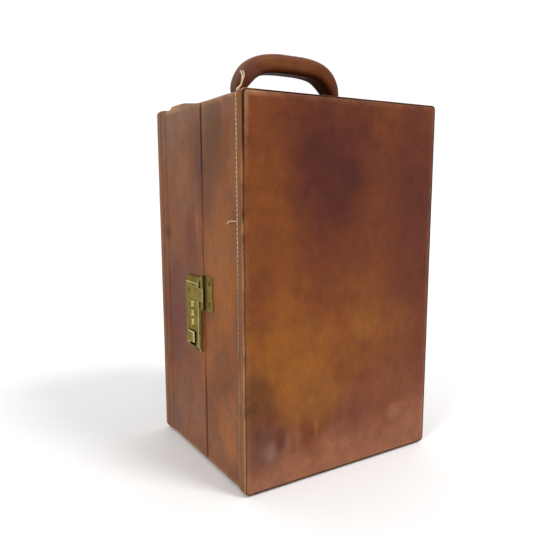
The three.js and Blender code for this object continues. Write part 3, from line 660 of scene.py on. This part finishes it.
def outline(inset):
    """Places and outward directions round the case's rounded outline, seen from its face, for one inset."""
    radius = max(CORNER - inset, 0.6)
    across, upright = HALF_WIDTH - inset - radius, HALF_HEIGHT - inset - radius
    per_corner, per_upright, per_level = 7, 150, 92
    corners = [(across, upright), (-across, upright), (-across, -upright), (across, -upright)]
    places, directions = [], []
    for i, (cx, cz) in enumerate(corners):
        for step in range(per_corner + 1):
            angle = (i + step / per_corner) * math.pi / 2
            direction = (math.cos(angle), math.sin(angle))
            places.append((cx + radius * direction[0], cz + radius * direction[1]))
            directions.append(direction)
        nx, nz = corners[(i + 1) % 4]
        end = (i + 1) * math.pi / 2
        direction = (math.cos(end), math.sin(end))
        start = places[-1]
        stop = (nx + radius * direction[0], nz + radius * direction[1])
        count = per_upright if i % 2 else per_level
        for step in range(1, count):
            t = step / count
            places.append((start[0] + (stop[0] - start[0]) * t, start[1] + (stop[1] - start[1]) * t))
            directions.append(direction)
    return np.array(places), np.array(directions)


def band(profile, half, lift):
    """Rings of points round the case. The profile is (inset, distance from the face) pairs, and lift moves
    a ring's points."""
    rings = []
    for inset, k in profile:
        places, directions = outline(inset)
        y = np.full(len(places), FACE_Y[half] - SIDE[half] * k)
        points = np.column_stack([places[:, 0] + CENTRE_X, y, places[:, 1] + CENTRE_Z])
        normals = np.column_stack([directions[:, 0], np.zeros(len(places)), directions[:, 1]])
        rings.append(points + lift(points, normals, inset, k))
    return np.vstack(rings)


def banded(name, profile, half, lift):
    """A piece round the case, its points, and each point's inset and distance from the face."""
    points = band(profile, half, lift)
    count = len(points) // len(profile)
    insets, depths = (np.repeat(column, count) for column in zip(*profile))
    return mesh(name, points, loft_faces(len(profile), count, True)), points, insets, depths


def lifted_edge(points, normals):
    """How the body's top skin has come away and curled near the lock side, and sunk towards the seam."""
    x, y = points[:, 0], points[:, 1]
    near_front = smooth(x, FRONT_X + 46, FRONT_X + 8)
    curl = 3.0 * smooth(y, 74, 61) * smooth(y, 0, 36)
    sunk = -0.9 * smooth(y, 12, -8)
    up = (curl + sunk) * near_front * smooth(normals[:, 2], 0.2, 0.9)
    return np.column_stack([-0.4 * np.maximum(up, 0), np.zeros(len(x)), up])


def sunk_edge(points, normals):
    """How the lid's top skin has sunk towards the seam near the lock side."""
    x, y = points[:, 0], points[:, 1]
    down = smooth(y, -70, -22) * smooth(x, FRONT_X + 70, FRONT_X + 10) * smooth(normals[:, 2], 0.2, 0.9)
    return np.column_stack([np.zeros(len(x)), np.zeros(len(x)), -0.8 * down])


def wall_colours(points):
    """Blotched on the lock side, mottled on the other walls, with the change hidden at the corners."""
    places = np.column_stack([points[:, 1] - FACE_Y["lid"], TOP_Z - points[:, 2]])
    # The lock side's blotches carry the lighting tint, painted to cancel its grey sheen.
    front = blotched(places, hide(126, 82, 54), spread_out(WALL_MARKS, 1, 2 * HALF_HEIGHT), 0.35) * LOCK_SIDE_LIGHT_TINT
    return tinted(mottled(points, 23.0), front, smooth(points[:, 0], FRONT_X + 9, FRONT_X + 3))


def quarter(steps, first):
    """Angles up to a right one, from the first of some even steps."""
    return [math.pi / 2 * i / steps for i in range(first, steps + 1)]


def wall_skin(half):
    """The leather round the four walls, turned over the rim at the seam and down inside it."""
    depth = abs(FACE_Y[half] - RIM_Y[half]) + RIM_SWELL
    inner = WALL_INSET + LEATHER
    turn = 1.7
    outer = [(WALL_INSET, k) for k in np.linspace(3.0, depth - turn - 2, int(depth / 3.2))]
    rolled = [(WALL_INSET + turn * (1 - math.cos(a)), depth - turn * (1 - math.sin(a)))
              for a in quarter(6, 0)]
    rim = [(WALL_INSET + turn + 1.2, depth), (BOARD_INNER - 0.4, depth), (BOARD_INNER, depth - 0.4)]
    under = depth - LEATHER
    lining_side = [(BOARD_INNER, under), (inner + 1.5, under), (inner, under - 1.5)]
    inside = [(inner, k) for k in np.linspace(depth - 8, 3.0, 8)]
    profile = [*outer, *rolled, *rim, *lining_side, *inside]
    shift = lifted_edge if half == "body" else sunk_edge

    def lift(points, normals, inset, k):
        slack = (0.35 * waves(points, 46, 3.0) + 0.12 * waves(points, 15, 9.0)) * smooth(k, BINDING_WIDTH, 40)
        near_metal = smooth(abs(points[:, 0]), HALF_WIDTH - 8, HALF_WIDTH - 20)
        slack = slack * (0.35 + 0.65 * near_metal) - 0.12
        return normals * np.minimum(slack, 0.18)[:, None] + shift(points, normals)

    piece, points, insets, k = banded(f"{half}_wall_skin", profile, half, lift)
    height = points[:, 2]
    # Painted shade in the seam's V where the leather turns over the rim, strongest near the top and the
    # bottom.
    seam_shade_strength = 0.08 + 0.65 * smooth(height, TOP_Z - 120, TOP_Z - 50) + 0.5 * smooth(height, 130, 80)
    seam = smooth(k, depth - 3.4, depth - 1.2) * seam_shade_strength
    to_side = smooth(HALF_WIDTH - abs(points[:, 0] - CENTRE_X), 9, 3)
    to_end = smooth(HALF_HEIGHT - abs(height - CENTRE_Z), 9, 3)
    wear = 0.7 * to_side * to_end * np.maximum(to_side, to_end) * (insets < inner)
    painted(piece, tinted(wall_colours(points), hide(78, 42, 36), seam), wear)
    if half == "body":
        low, _ = node_box("lock_base")
        dial_low, dial_high = node_box("lower_dial")[0], node_box("upper_dial")[1]
        carve(piece, (low[0], dial_low[1] - 0.6, dial_low[2] - 3),
              (low[0] + 20, dial_high[1] + 0.6, dial_high[2] + 5))
        piece.data.shade_smooth()
    stands_for(piece, f"{half}_wall_leather", "wall_leather", WALL)


def binding_strip(half):
    """The stitched strip round the edge, with a shallow channel for the thread and a thinned tail."""
    tail = BINDING_WIDTH if half == "lid" else BODY_BINDING_WIDTH
    under = 1.8
    profile = [
        (1.75, 3.2), (1.0, 2.7), (0.85, 1.3), (0.62, 0.85), (0.34, 0.95), (0.1, 1.6), (0, 2.6), (0, 5),
        (0, 8),
        (0.12, STITCH_LINE - 1.2), (0.38, STITCH_LINE - 0.5), (0.45, STITCH_LINE), (0.38, STITCH_LINE + 0.5),
        (0.25, STITCH_LINE + 1.2), (0.35, STITCH_LINE + 2.2), (0.6, 0.35 * STITCH_LINE + 0.65 * tail),
        (0.95, tail), (1.35, tail + 2), (under, tail + 2), (under, 12), (under, 6),
    ]

    def lift(points, normals, inset, k):
        slack = 0.10 * waves(points, 22, 6.0 + k * 0.02) - 0.05
        return normals * np.minimum(slack, 0.1)[:, None]

    piece, points, _, k = banded(f"{half}_binding_strip", profile, half, lift)
    height = (points[:, 2] - CENTRE_Z) / HALF_HEIGHT
    colours = tinted(mottled(points, 31.0), hide(150, 98, 54), 0.55)
    colours = tinted(colours, hide(146, 102, 70), smooth(height, 0.0, -0.7) * 0.5)
    beyond = smooth(k, STITCH_LINE - 1, BINDING_WIDTH) * 0.9
    colours = tinted(colours, wall_colours(points), np.maximum(beyond, 0.55 * (half == "body")))
    x, z = points[:, 0], points[:, 2]
    lock_side = smooth(x, FRONT_X + 6, FRONT_X + 1)
    rubbed = lock_side * smooth(z, TOP_Z - 30, TOP_Z - 110)
    high_corner = smooth(z, TOP_Z - 3, TOP_Z - 1) * smooth(x, FRONT_X + 22, FRONT_X + 3)
    handled = np.maximum(rubbed, high_corner)
    wear = smooth(k, 5.0, 1.8) * (0.08 + 0.6 * handled)
    patchy = smooth(waves(points, 26, 1.5), -0.3, 0.3)
    # The binding's lip beside the panel is darkened: partly dark dye on its cut edge, partly painted shade in
    # the groove, patchy where handled.
    edge_dye_and_groove_shade = 0.85 * smooth(k, 1.7, 1.0) * (1 - 0.8 * patchy * handled)
    painted(piece, tinted(colours, hide(56, 34, 32), edge_dye_and_groove_shade), wear)
    stands_for(piece, f"{half}_edge_binding", "binding_leather", BINDING)


def outline_walk(inset, pitch):
    """Places, outward directions and directions along, at even steps round the outline."""
    places, directions = outline(inset)
    closed = np.vstack([places, places[:1]])
    lengths = np.append(0, np.cumsum(np.hypot(*np.diff(closed, axis=0).T)))
    count = int(round(lengths[-1] / pitch))
    for i in range(count):
        at = lengths[-1] * (i + 0.5) / count
        j = min(np.searchsorted(lengths, at) - 1, len(places) - 1)
        t = (at - lengths[j]) / max(lengths[j + 1] - lengths[j], 1e-9)
        place = closed[j] + (closed[j + 1] - closed[j]) * t
        direction = directions[j] + (directions[(j + 1) % len(places)] - directions[j]) * t
        direction = direction / np.hypot(*direction)
        yield place, direction, np.array([-direction[1], direction[0]])


# A broken end of thread that stands up over the lid's top corner, and a loop pulled out of the front row
LOOSE_THREADS = [
    [(-124.2, -97.0, 407.9), (-122.6, -97.0, 409.0), (-120.6, -97.0, 411.2), (-119.2, -97.0, 416.2),
     (-118.9, -97.0, 420.6), (-120.9, -97.0, 424.9)],
    [(-125.4, -96.3, 407.0), (-122.6, -96.3, 409.6), (-120.0, -96.3, 412.0), (-118.0, -96.3, 416.6),
     (-116.4, -96.3, 421.2), (-117.9, -96.3, 425.3)],
    [(-125.7, -96.8, 284.0), (-126.9, -92.5, 283.9), (-127.4, -86.0, 283.6), (-127.2, -80.5, 282.4),
     (-126.4, -76.5, 280.2)],
]


def stitches(half):
    """The row of slanted stitches round the binding."""
    shape = Shape()
    length, radius, slant = 4.0, 0.62, 0.35
    for place, outward, along in outline_walk(0.4, STITCH_PITCH):
        y = FACE_Y[half] - SIDE[half] * STITCH_LINE + 0.35 * noise.noise(Vector((*place, 0)) / 9)
        middle = Vector((place[0] + CENTRE_X, y, place[1] + CENTRE_Z))
        out = Vector((outward[0], 0, outward[1]))
        run = Vector((along[0], 0, along[1]))
        shape.tube([
            middle + run * (t * length / 2) + Vector((0, slant * t, 0)) + out * (0.34 - 0.9 * abs(t) ** 3)
            for t in (-1, -0.7, -0.3, 0.3, 0.7, 1)], radius, 6)
    if half == "lid":
        for line in LOOSE_THREADS:
            shape.tube(curve_points(line, 5), radius, 7)
    piece = shape.made(f"{half}_stitches")
    points = np.array([v.co for v in piece.data.vertices]) / MM
    dirty = 0.15 + 0.6 * smooth(points[:, 2], TOP_Z - 70, TOP_Z - 270) + 0.3 * waves(points, 30, 2.0)
    if half == "body":
        dirty = dirty + 0.75
    dirty = np.clip(dirty - 0.6 * (points[:, 2] > TOP_Z + 0.5), 0, 0.95)
    painted(piece, tinted(np.array(srgb(236, 212, 178)), srgb(122, 82, 54), dirty))
    piece.data.materials.append(THREAD)
    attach(piece, half)


def lining(half):
    """Cloth pasted over the inside of the tray, soft in its corners and rolled at the rim."""
    depth = abs(FACE_Y[half] - RIM_Y[half])
    floor_k, board_k, radius = 10.4, 9.6, 5.0
    inset = LINING_INSET + 0.7
    rim = [(LINING_INSET, depth - 1.9), (LINING_INSET + 0.35, depth - 1.75), (inset, depth - 2.0)]
    wall = [(inset, k) for k in np.linspace(depth - 6, floor_k + radius, int(depth / 7))]
    turned_in = [(inset + radius * (1 - math.cos(a)), floor_k + radius * (1 - math.sin(a)))
                 for a in quarter(5, 1)]
    base = [(inset + radius + d, floor_k) for d in (8, 20, 36, 54, 74, 96)]
    inner = [*rim, *wall, *turned_in, *base]
    back = [(96, board_k), (LINING_INSET + 20, board_k), (LINING_INSET, board_k), (LINING_INSET, depth - 8)]

    def lift(points, normals, inset, k):
        on_wall = smooth(k, floor_k + 0.1, floor_k + 9) * smooth(k, depth - 2, depth - 12)
        on_floor = smooth(inset, LINING_INSET + 6, LINING_INSET + 18) * (k == floor_k)
        inward = -normals * np.maximum(0.5 * waves(points, 38, 12.0) * on_wall, 0)[:, None]
        inward[:, 1] = -SIDE[half] * np.maximum(0.35 * waves(points, 45, 15.0) * on_floor, 0)
        return inward

    profile = [*inner, *back]
    points = band(profile, half, lift)
    count = len(points) // len(profile)
    middle = len(inner) - 1
    faces = [face for face in loft_faces(len(profile), count, True) if face[0] // count != middle]
    faces += [tuple(row * count + j for j in range(count)) for row in (middle, middle + 1)]
    piece = mesh(f"{half}_lining_cloth", points, faces)
    stands_for(piece, f"{half}_lining", "lining", TWILL)


# Handle

# The grip's middle line from an end to the centre: distance from the handle's middle, drop below the top,
# half thickness and half width
GRIP_LINE = [
    (66.6, 49.6, 5.6, 9.0), (65.9, 42.6, 7.0, 11.3), (61.6, 34.0, 8.6, 14.2), (54.6, 24.8, 10.1, 15.5),
    (46.0, 18.0, 11.0, 15.5), (34.0, 13.8, 11.4, 15.5), (18.0, 11.8, 11.5, 15.5), (0.0, 11.5, 11.5, 15.5),
]

# The leather has settled a little on its frame, less the nearer it is to its pivots
SAG = 1.4
PIVOT_DROP = 57.0


def settled(top, drop):
    """A height for a drop below the handle's top."""
    return top - SAG - drop * (1 - SAG / PIVOT_DROP)


def grip_line():
    """The grip's whole middle line as rows like GRIP_LINE's, its directions, and the length so far."""
    other_half = [(-x, *others) for x, *others in reversed(GRIP_LINE[:-1])]
    line = np.array(curve_points([np.array(station) for station in [*GRIP_LINE, *other_half]], 9))
    along = np.gradient(line[:, :2], axis=0)
    along = along / np.hypot(*along.T)[:, None]
    arc = np.append(0, np.cumsum(np.hypot(*np.diff(line[:, :2], axis=0).T)))
    return line, along, arc


def handle_middle():
    """The handle's middle across and along the case, and its top."""
    low, high = node_box("handle_grip")
    return (low[0] + high[0]) / 2, (low[1] + high[1]) / 2, high[2]


def grip():
    """The padded leather grip: a soft rounded section, creased where it bends, with its seam underneath."""
    middle_x, middle_y, top = handle_middle()
    line, along, arc = grip_line()
    sides = 56
    angles = np.arange(sides) * 2 * math.pi / sides
    squarish = 0.56
    across = np.sign(np.cos(angles)) * abs(np.cos(angles)) ** squarish
    width = np.sign(np.sin(angles)) * abs(np.sin(angles)) ** squarish
    rings = []
    ends = [(0.38, 0.0), (0.72, -0.9), (0.93, -0.5)]
    count = len(line)
    order = [(0, s, d) for s, d in ends] + [(i, 1, 0) for i in range(1, count - 1)]
    order += [(count - 1, s, d) for s, d in reversed(ends)]
    for i, share, out in order:
        x, drop, thick, wide = line[i]
        step = along[i] * (1 if i < count / 2 else -1) * -out
        outward = np.array([-along[i][1], along[i][0]])
        seam = 0.8 * np.exp(-((angles - math.pi) / 0.10) ** 2)
        bend = smooth(abs(x), 38, 50) * smooth(abs(x), 68, 60)
        crease = 0.22 * bend * np.sin(arc[i] * 2.1) * smooth(np.cos(angles), 0.1, -0.7)
        a = thick * across * share * (1 - 0.03 * abs(width)) + (seam + crease) * share
        b = wide * width * share
        rings.append(np.column_stack([
            middle_x + x + step[0] + a * outward[0],
            middle_y + b,
            settled(top, drop + step[1] + a * outward[1]),
        ]))
    points = np.vstack(rings)
    inner = []
    for ring, i in ((rings[0], 0), (rings[-1], count - 1)):
        centre = ring.mean(axis=0)
        inward = np.array([along[i][0], 0, -along[i][1]]) * (1 if i == 0 else -1)
        inner.append(centre + (ring - centre) * 0.96 + inward * 4)
    points = np.vstack([inner[0], points, inner[1]])
    rows = len(rings) + 2
    points = points + np.column_stack([
        np.zeros(len(points)), 0.25 * waves(points, 16, 4.0), 0.2 * waves(points, 20, 8.0)])
    piece = mesh("handle_leather_grip", points, loft_faces(rows, sides, False))
    # Painted shade on the grip's underside, together with some of the leather's own darker tone.
    under = np.tile(smooth(np.cos(angles), -0.64, -0.86), rows)
    shade = blotched(points[:, [0, 2]], hide(118, 70, 50), [
        ((-8, 458), (52, 8), hide(134, 84, 52), 0.7), ((50, 452), (22, 12), hide(116, 70, 44), 0.6),
        ((-58, 440), (12, 20), hide(118, 76, 62), 0.6)])
    top_wear = 0.35 * np.tile(smooth(np.cos(angles), 0.55, 0.95), rows) * smooth(abs(points[:, 0]), 60, 20)
    painted(piece, tinted(shade, hide(58, 36, 32), 0.75 * under), top_wear)
    stands_for(piece, "handle_grip", "grip_leather", GRIP)


def grip_stitches():
    """The row of stitches along the seam under the grip."""
    middle_x, middle_y, top = handle_middle()
    line, along, arc = grip_line()
    sewn = Shape()
    pitch, length = 5.0, 3.6
    count = int(arc[-1] / pitch) - 2
    for n in range(count):
        at = arc[-1] / 2 + (n - (count - 1) / 2) * pitch
        spots = []
        for t in (-1, -0.6, 0, 0.6, 1):
            s = np.clip(at + t * length / 2, 0, arc[-1])
            x, drop, thick = (np.interp(s, arc, line[:, c]) for c in (0, 1, 2))
            tx, td = np.interp(s, arc, along[:, 0]), np.interp(s, arc, along[:, 1])
            outward = np.array([-td, tx])
            a = -(thick - 0.55) - 0.25 * (1 - abs(t) ** 2) + 0.35 * abs(t) ** 3
            height = settled(top, drop + a * outward[1])
            spots.append((middle_x + x + a * outward[0], middle_y + 0.6 * t, height))
        sewn.tube(spots, 0.45, 6)
    row = sewn.made("handle_grip_stitches")
    painted(row, np.tile(np.array(hide(120, 84, 60)), (len(row.data.vertices), 1)))
    row.data.materials.append(THREAD)
    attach(row, "handle")


# Metal work

def metal_piece(shape, node, width, material=BRASS, slot="brass"):
    """A metal piece with rounded edges that stands for a CAD node."""
    piece = rounded_edges(shape.made(f"{node}_finished"), width, 2, 40)
    stands_for(piece, node, slot, material)


def fastener_place(node, direction, height):
    """Where the flat under a fastener's head is, the axis it points along, and its length up to there."""
    low, high = node_box(node)
    axis = int(np.argmax(np.abs(direction)))
    place = (low + high) / 2
    place[axis] = (high if direction[axis] > 0 else low)[axis] - direction[axis] * height
    return place, axis, high[axis] - low[axis] - height


def domed(head, height, steps):
    """The (radius, height) pairs of a domed head from its rim to just before its middle."""
    return [(head * math.cos(a), height * math.sin(a)) for a in quarter(steps, 0)[:-1]]


def slotted_screw(node, direction):
    """A round-headed screw with a driver slot."""
    head, height = (3.0, 1.6) if node.startswith("lock_screw") else (2.6, 0.9)
    shank, slot_width, slot_floor = 1.2, 0.64, 0.45 * height
    place, axis, length = fastener_place(node, direction, height)
    shape = Shape()
    shape.turned([
        (0.25, -length), (shank * 0.6, -length + 0.3), (shank, -length + 1.4), (shank, 0),
        (head, 0), (head, height * 0.35), *domed(head * 0.94, height, 5)[1:], (0.05, height)],
        place, direction)
    piece = shape.made(f"{node}_finished")
    slot_low, slot_high = place - 3.2, place + 3.2
    slot_low[axis], slot_high[axis] = sorted(
        place[axis] + direction[axis] * level for level in (slot_floor, height + 1))
    slot_low[2], slot_high[2] = place[2] - slot_width / 2, place[2] + slot_width / 2
    carve(piece, slot_low, slot_high)
    rounded_edges(piece, 0.08, 2, 40)
    stands_for(piece, node, "brass", RUBBED_GLINT_BRASS)


def rivet(node, direction):
    """A rivet with a domed head outside and a rolled tail inside the lining."""
    head, height, shank = 2.5, 1.1, 1.2
    place, _, length = fastener_place(node, direction, height)
    length -= height
    shape = Shape()
    tail = [(r, -length - h) for r, h in reversed(domed(head * 0.9, height, 5))]
    shape.turned([*tail, (shank, -length), (shank, 0), *domed(head, height, 6), (0.05, height)],
                 place, direction)
    metal_piece(shape, node, 0.08)


def glide(node):
    """A flat-footed dome that the case stands on."""
    low, high = node_box(node)
    place = (low + high) / 2
    place[2] = low[2]
    radius, head = (high[0] - low[0]) / 2, 3.7
    shank, spike = 1.2, 5.0
    dome = [(radius * (0.6 + 0.4 * math.sin(a)), head * 0.72 * (1 - math.cos(a))) for a in quarter(7, 0)]
    shape = Shape()
    shape.turned([
        (0.3, 0), (radius * 0.4, 0), *dome, (radius, head), (shank, head), (shank, head + spike),
        (0.1, head + spike + 0.5)], place)
    metal_piece(shape, node, 0.1)


def pin(node, axis):
    """A plain round pin with chamfered ends."""
    low, high = node_box(node)
    place = (low + high) / 2
    across = 2 if axis == 0 else 0
    radius = (high[across] - low[across]) / 2
    length = high[axis] - low[axis]
    place[axis] = low[axis]
    direction = [0, 0, 0]
    direction[axis] = 1
    shape = Shape()
    chamfer = radius * 0.4
    shape.turned([
        (radius - chamfer, 0), (radius, chamfer), (radius, length - chamfer), (radius - chamfer, length)],
        place, direction, 24)
    metal_piece(shape, node, 0.05, STEEL, "steel")


HINGE_KNUCKLES = 13


def hinge_leaf(half):
    """One leaf of the long hinge: a thin plate with every other rolled knuckle."""
    node = f"hinge_{half}_leaf"
    low, high = node_box(node)
    body_low, body_high = node_box("hinge_body_leaf")
    axis_x, axis_y, _ = np.mean(node_box("hinge_pin"), axis=0)
    barrel, bore, plate, gap = high[0] - axis_x, 1.3, 1.0, 0.3
    side = SIDE[half]
    plate_x = (low[0], low[0] + plate)
    edge = sorted((axis_y + side * (barrel + 0.6), low[1] if side < 0 else high[1]))
    bottom = body_low[2] - gap / 2
    pitch = (body_high[2] + gap / 2 - bottom) / HINGE_KNUCKLES
    shape = Shape()
    shape.box((plate_x[0], edge[0], low[2]), (plate_x[1], edge[1], high[2]))
    for i in range(0 if half == "body" else 1, HINGE_KNUCKLES, 2):
        z0, z1 = bottom + i * pitch + gap / 2, bottom + (i + 1) * pitch - gap / 2
        shape.turned([
            (bore, z0), (barrel - 0.3, z0), (barrel, z0 + 0.3), (barrel, z1 - 0.3), (barrel - 0.3, z1),
            (bore, z1), (bore, z0)], (axis_x, axis_y, 0), (0, 0, 1), 28)
        web = sorted((axis_y + side * 0.6, axis_y + side * (barrel + 1.2)))
        shape.box((plate_x[0] + 0.05, web[0], z0 + 0.1), (plate_x[1] + 0.1, web[1], z1 - 0.1))
    metal_piece(shape, node, 0.15)


DIALS = ("upper", "middle", "lower")
FIGURE_HEIGHT = 4.4
FLAT_SHARE = math.cos(math.radians(12)) * 1.005  # how far out a dial's figures are, of its half width


def dial(name):
    """A ten-sided dial with rounded edges and the figures 0 to 9."""
    node = f"{name}_dial"
    edged(node, [DIAL_BRASS], "dial_brass", 0.25)
    low, high = node_box(node)
    centre = (low + high) / 2
    radius = (high[1] - low[1]) / 2
    bm = bmesh.new()
    for value in range(10):
        font = bpy.data.curves.new(f"{name}_figure_{value}", "FONT")
        font.body = str(value)
        font.size = FIGURE_HEIGHT * MM
        font.extrude = 0.06 * MM
        font.align_x, font.align_y = "CENTER", "CENTER"
        font.space_character = 0.9
        figure = linked(f"{name}_figure_{value}", font)
        angle = math.radians(36 * value)
        outward = Vector((math.cos(angle), math.sin(angle), 0))
        right = Vector((0, 0, 1)).cross(outward)
        turn = Euler((math.radians(90), 0, math.atan2(right.y, right.x))).to_matrix().to_4x4()
        turn.translation = (Vector(centre) + outward * radius * FLAT_SHARE) * MM
        figure.matrix_world = turn
        bpy.context.view_layer.update()
        graph = bpy.context.evaluated_depsgraph_get()
        data = bpy.data.meshes.new_from_object(figure.evaluated_get(graph))
        data.transform(figure.matrix_world)
        bm.from_mesh(data)
        bpy.data.objects.remove(figure)
    data = bpy.data.meshes.new(f"{name}_dial_figures")
    bm.to_mesh(data)
    bm.free()
    data.materials.append(ENAMEL)
    row = linked(f"{name}_dial_figures", data)
    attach(row, frame["nodes"][node]["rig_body"])


def window_cheeks():
    """The lips at both sides of each dial's window, which the dial stands out between."""
    front = node_box("lock_cover")[0][0]
    cheeks = Shape()
    for name in DIALS:
        low, high = node_box(f"{name}_dial")
        middle = (low[1] + high[1]) / 2
        for side in (-1, 1):
            near, far = sorted((middle + side * 4.6, middle + side * 7.5))
            cheeks.box((front + 0.02, near, low[2] - 1.2), (front + 0.8, far, high[2] + 1.2))
    return cheeks


def lock_cover():
    """The lock's cover. Its outer edges are rounded first, so that its windows don't limit them."""
    low, high = node_box("lock_cover")
    side_rim, end_slope, shortest = 0.9, 7.1, 3.0

    def outer(a, b):
        in_front = min(a[0], b[0]) < low[0] + 0.1
        on_side = any(max(abs(a[1] - y), abs(b[1] - y)) < side_rim for y in (low[1], high[1]))
        on_end = any(max(abs(a[2] - z), abs(b[2] - z)) < end_slope for z in (low[2], high[2]))
        return in_front and (on_side or on_end) and np.linalg.norm(a - b) > shortest

    edged("lock_cover", [BRASS, RUBBED_GLINT_BRASS], "brass", 0.4, window_cheeks(), (0.9, outer))


def metal_work():
    """All the metal pieces."""
    lock_cover()
    for node, width in (("release_slider", 0.3), ("hasp_plate", 0.55), ("hasp_flap", 0.6),
                        ("lock_base", 0.15), ("handle_front_bracket", 0.2), ("handle_back_bracket", 0.2)):
        edged(node, [BRASS, RUBBED_GLINT_BRASS], "brass", width)
    for node, width in (("handle_frame", 0.25), ("latch_bolt", 0.2)):
        edged(node, [STEEL], "steel", width)
    for name in DIALS:
        dial(name)
    for half in HALVES:
        hinge_leaf(half)
        for i in (1, 2, 3):
            slotted_screw(f"hinge_{half}_screw_{i}", (1, 0, 0))
    for i in (1, 2):
        slotted_screw(f"lock_screw_{i}", (1, 0, 0))
        rivet(f"hasp_rivet_{i}", (-1, 0, 0))
        glide(f"lid_glide_{i}")
    for i in (1, 2, 3, 4):
        rivet(f"handle_rivet_{i}", (0, 0, 1))
        glide(f"body_glide_{i}")
    for node, axis in (("hinge_pin", 2), ("hasp_pin", 2), ("dial_spindle", 2),
                       ("handle_front_pin", 0), ("handle_back_pin", 0)):
        pin(node, axis)
    kept("slider_spring", STEEL)


def kept(node, material):
    """Gives a CAD node that stays as it is its material."""
    materials = frame["nodes"][node].data.materials
    materials.clear()
    materials.append(material)


def boards():
    """The boards stay as the CAD has them, with plywood's grain."""
    for half in HALVES:
        for wall in ("top", "bottom", "front", "back", "face"):
            kept(f"{half}_{wall}_board", PLYWOOD)


# Setting

CAMERA_PLACE = (-0.3941, -0.5935, 0.3188)
CAMERA_TURN = 32.07  # degrees right of +Y
CAMERA_TILT = -8.82
CAMERA_ROLL = -0.12
CAMERA_LENS = 38.02


# The direction of the white backdrop that lights the case from behind. The room in front is dimmer, and the
# camera sees white everywhere.
BACKDROP = (0.53, 0.85, 0.0)
BACKDROP_LIGHT = 1.05
ROOM_LIGHT = 0.6


def camera():
    """The photo's camera, fitted to the case's corners."""
    data = bpy.data.cameras.new("camera")
    data.lens = CAMERA_LENS
    data.clip_start, data.clip_end = 0.01, 50
    eye = linked("camera", data)
    turn, tilt = math.radians(CAMERA_TURN), math.radians(CAMERA_TILT)
    level = math.cos(tilt)
    forward = Vector((math.sin(turn) * level, math.cos(turn) * level, math.sin(tilt)))
    roll = Quaternion((0, 0, 1), math.radians(CAMERA_ROLL))
    eye.rotation_mode = "QUATERNION"
    eye.rotation_quaternion = forward.to_track_quat("-Z", "Y") @ roll
    eye.location = CAMERA_PLACE
    bpy.context.scene.camera = eye


def soft_light(name, towards, strength, spread):
    """A large far lamp that the case sees in one direction, spread over an angle in degrees."""
    data = bpy.data.lights.new(name, "SUN")
    data.energy, data.angle = strength, math.radians(spread)
    lamp = linked(name, data)
    lamp.rotation_euler = Vector(towards).to_track_quat("Z", "Y").to_euler()


def studio():
    """A pale floor, the surroundings, and two soft lamps, high on the right and high on the lock's side."""
    reach = 9000
    corners = [(-reach, -reach, 0), (reach, -reach, 0), (reach, reach, 0), (-reach, reach, 0)]
    floor = mesh("floor", corners, [(0, 1, 2, 3)])
    s = Shader("pale_floor")
    floor.data.materials.append(s.finish({"Base Color": (0.95, 0.95, 0.95, 1), "Roughness": 0.9}))
    s = Shader("surround", bpy.data.worlds)
    towards = s.node("ShaderNodeTexCoord").outputs["Generated"]
    facing = s.node("ShaderNodeVectorMath", {0: towards, 1: BACKDROP}, operation="DOT_PRODUCT")
    level = s.span(facing.outputs["Value"], -0.1, 0.5, ROOM_LIGHT, BACKDROP_LIGHT)
    to_camera = s.node("ShaderNodeLightPath").outputs["Is Camera Ray"]
    strength = s.math("MAXIMUM", level, s.math("MULTIPLY", to_camera, BACKDROP_LIGHT))
    bpy.context.scene.world = s.finish(
        {"Color": (1, 1, 1, 1), "Strength": strength}, "ShaderNodeBackground", "ShaderNodeOutputWorld")
    soft_light("key", (1.0, -1.7, 2.0), 1.5, 22)
    soft_light("side", (-1.7, -0.7, 1.7), 0.7, 12)
    bpy.context.scene.view_settings.view_transform = "Standard"


camera()
studio()
for half_name in HALVES:
    face_panel(half_name)
    wall_skin(half_name)
    binding_strip(half_name)
    stitches(half_name)
    lining(half_name)
grip()
grip_stitches()
metal_work()
boards()
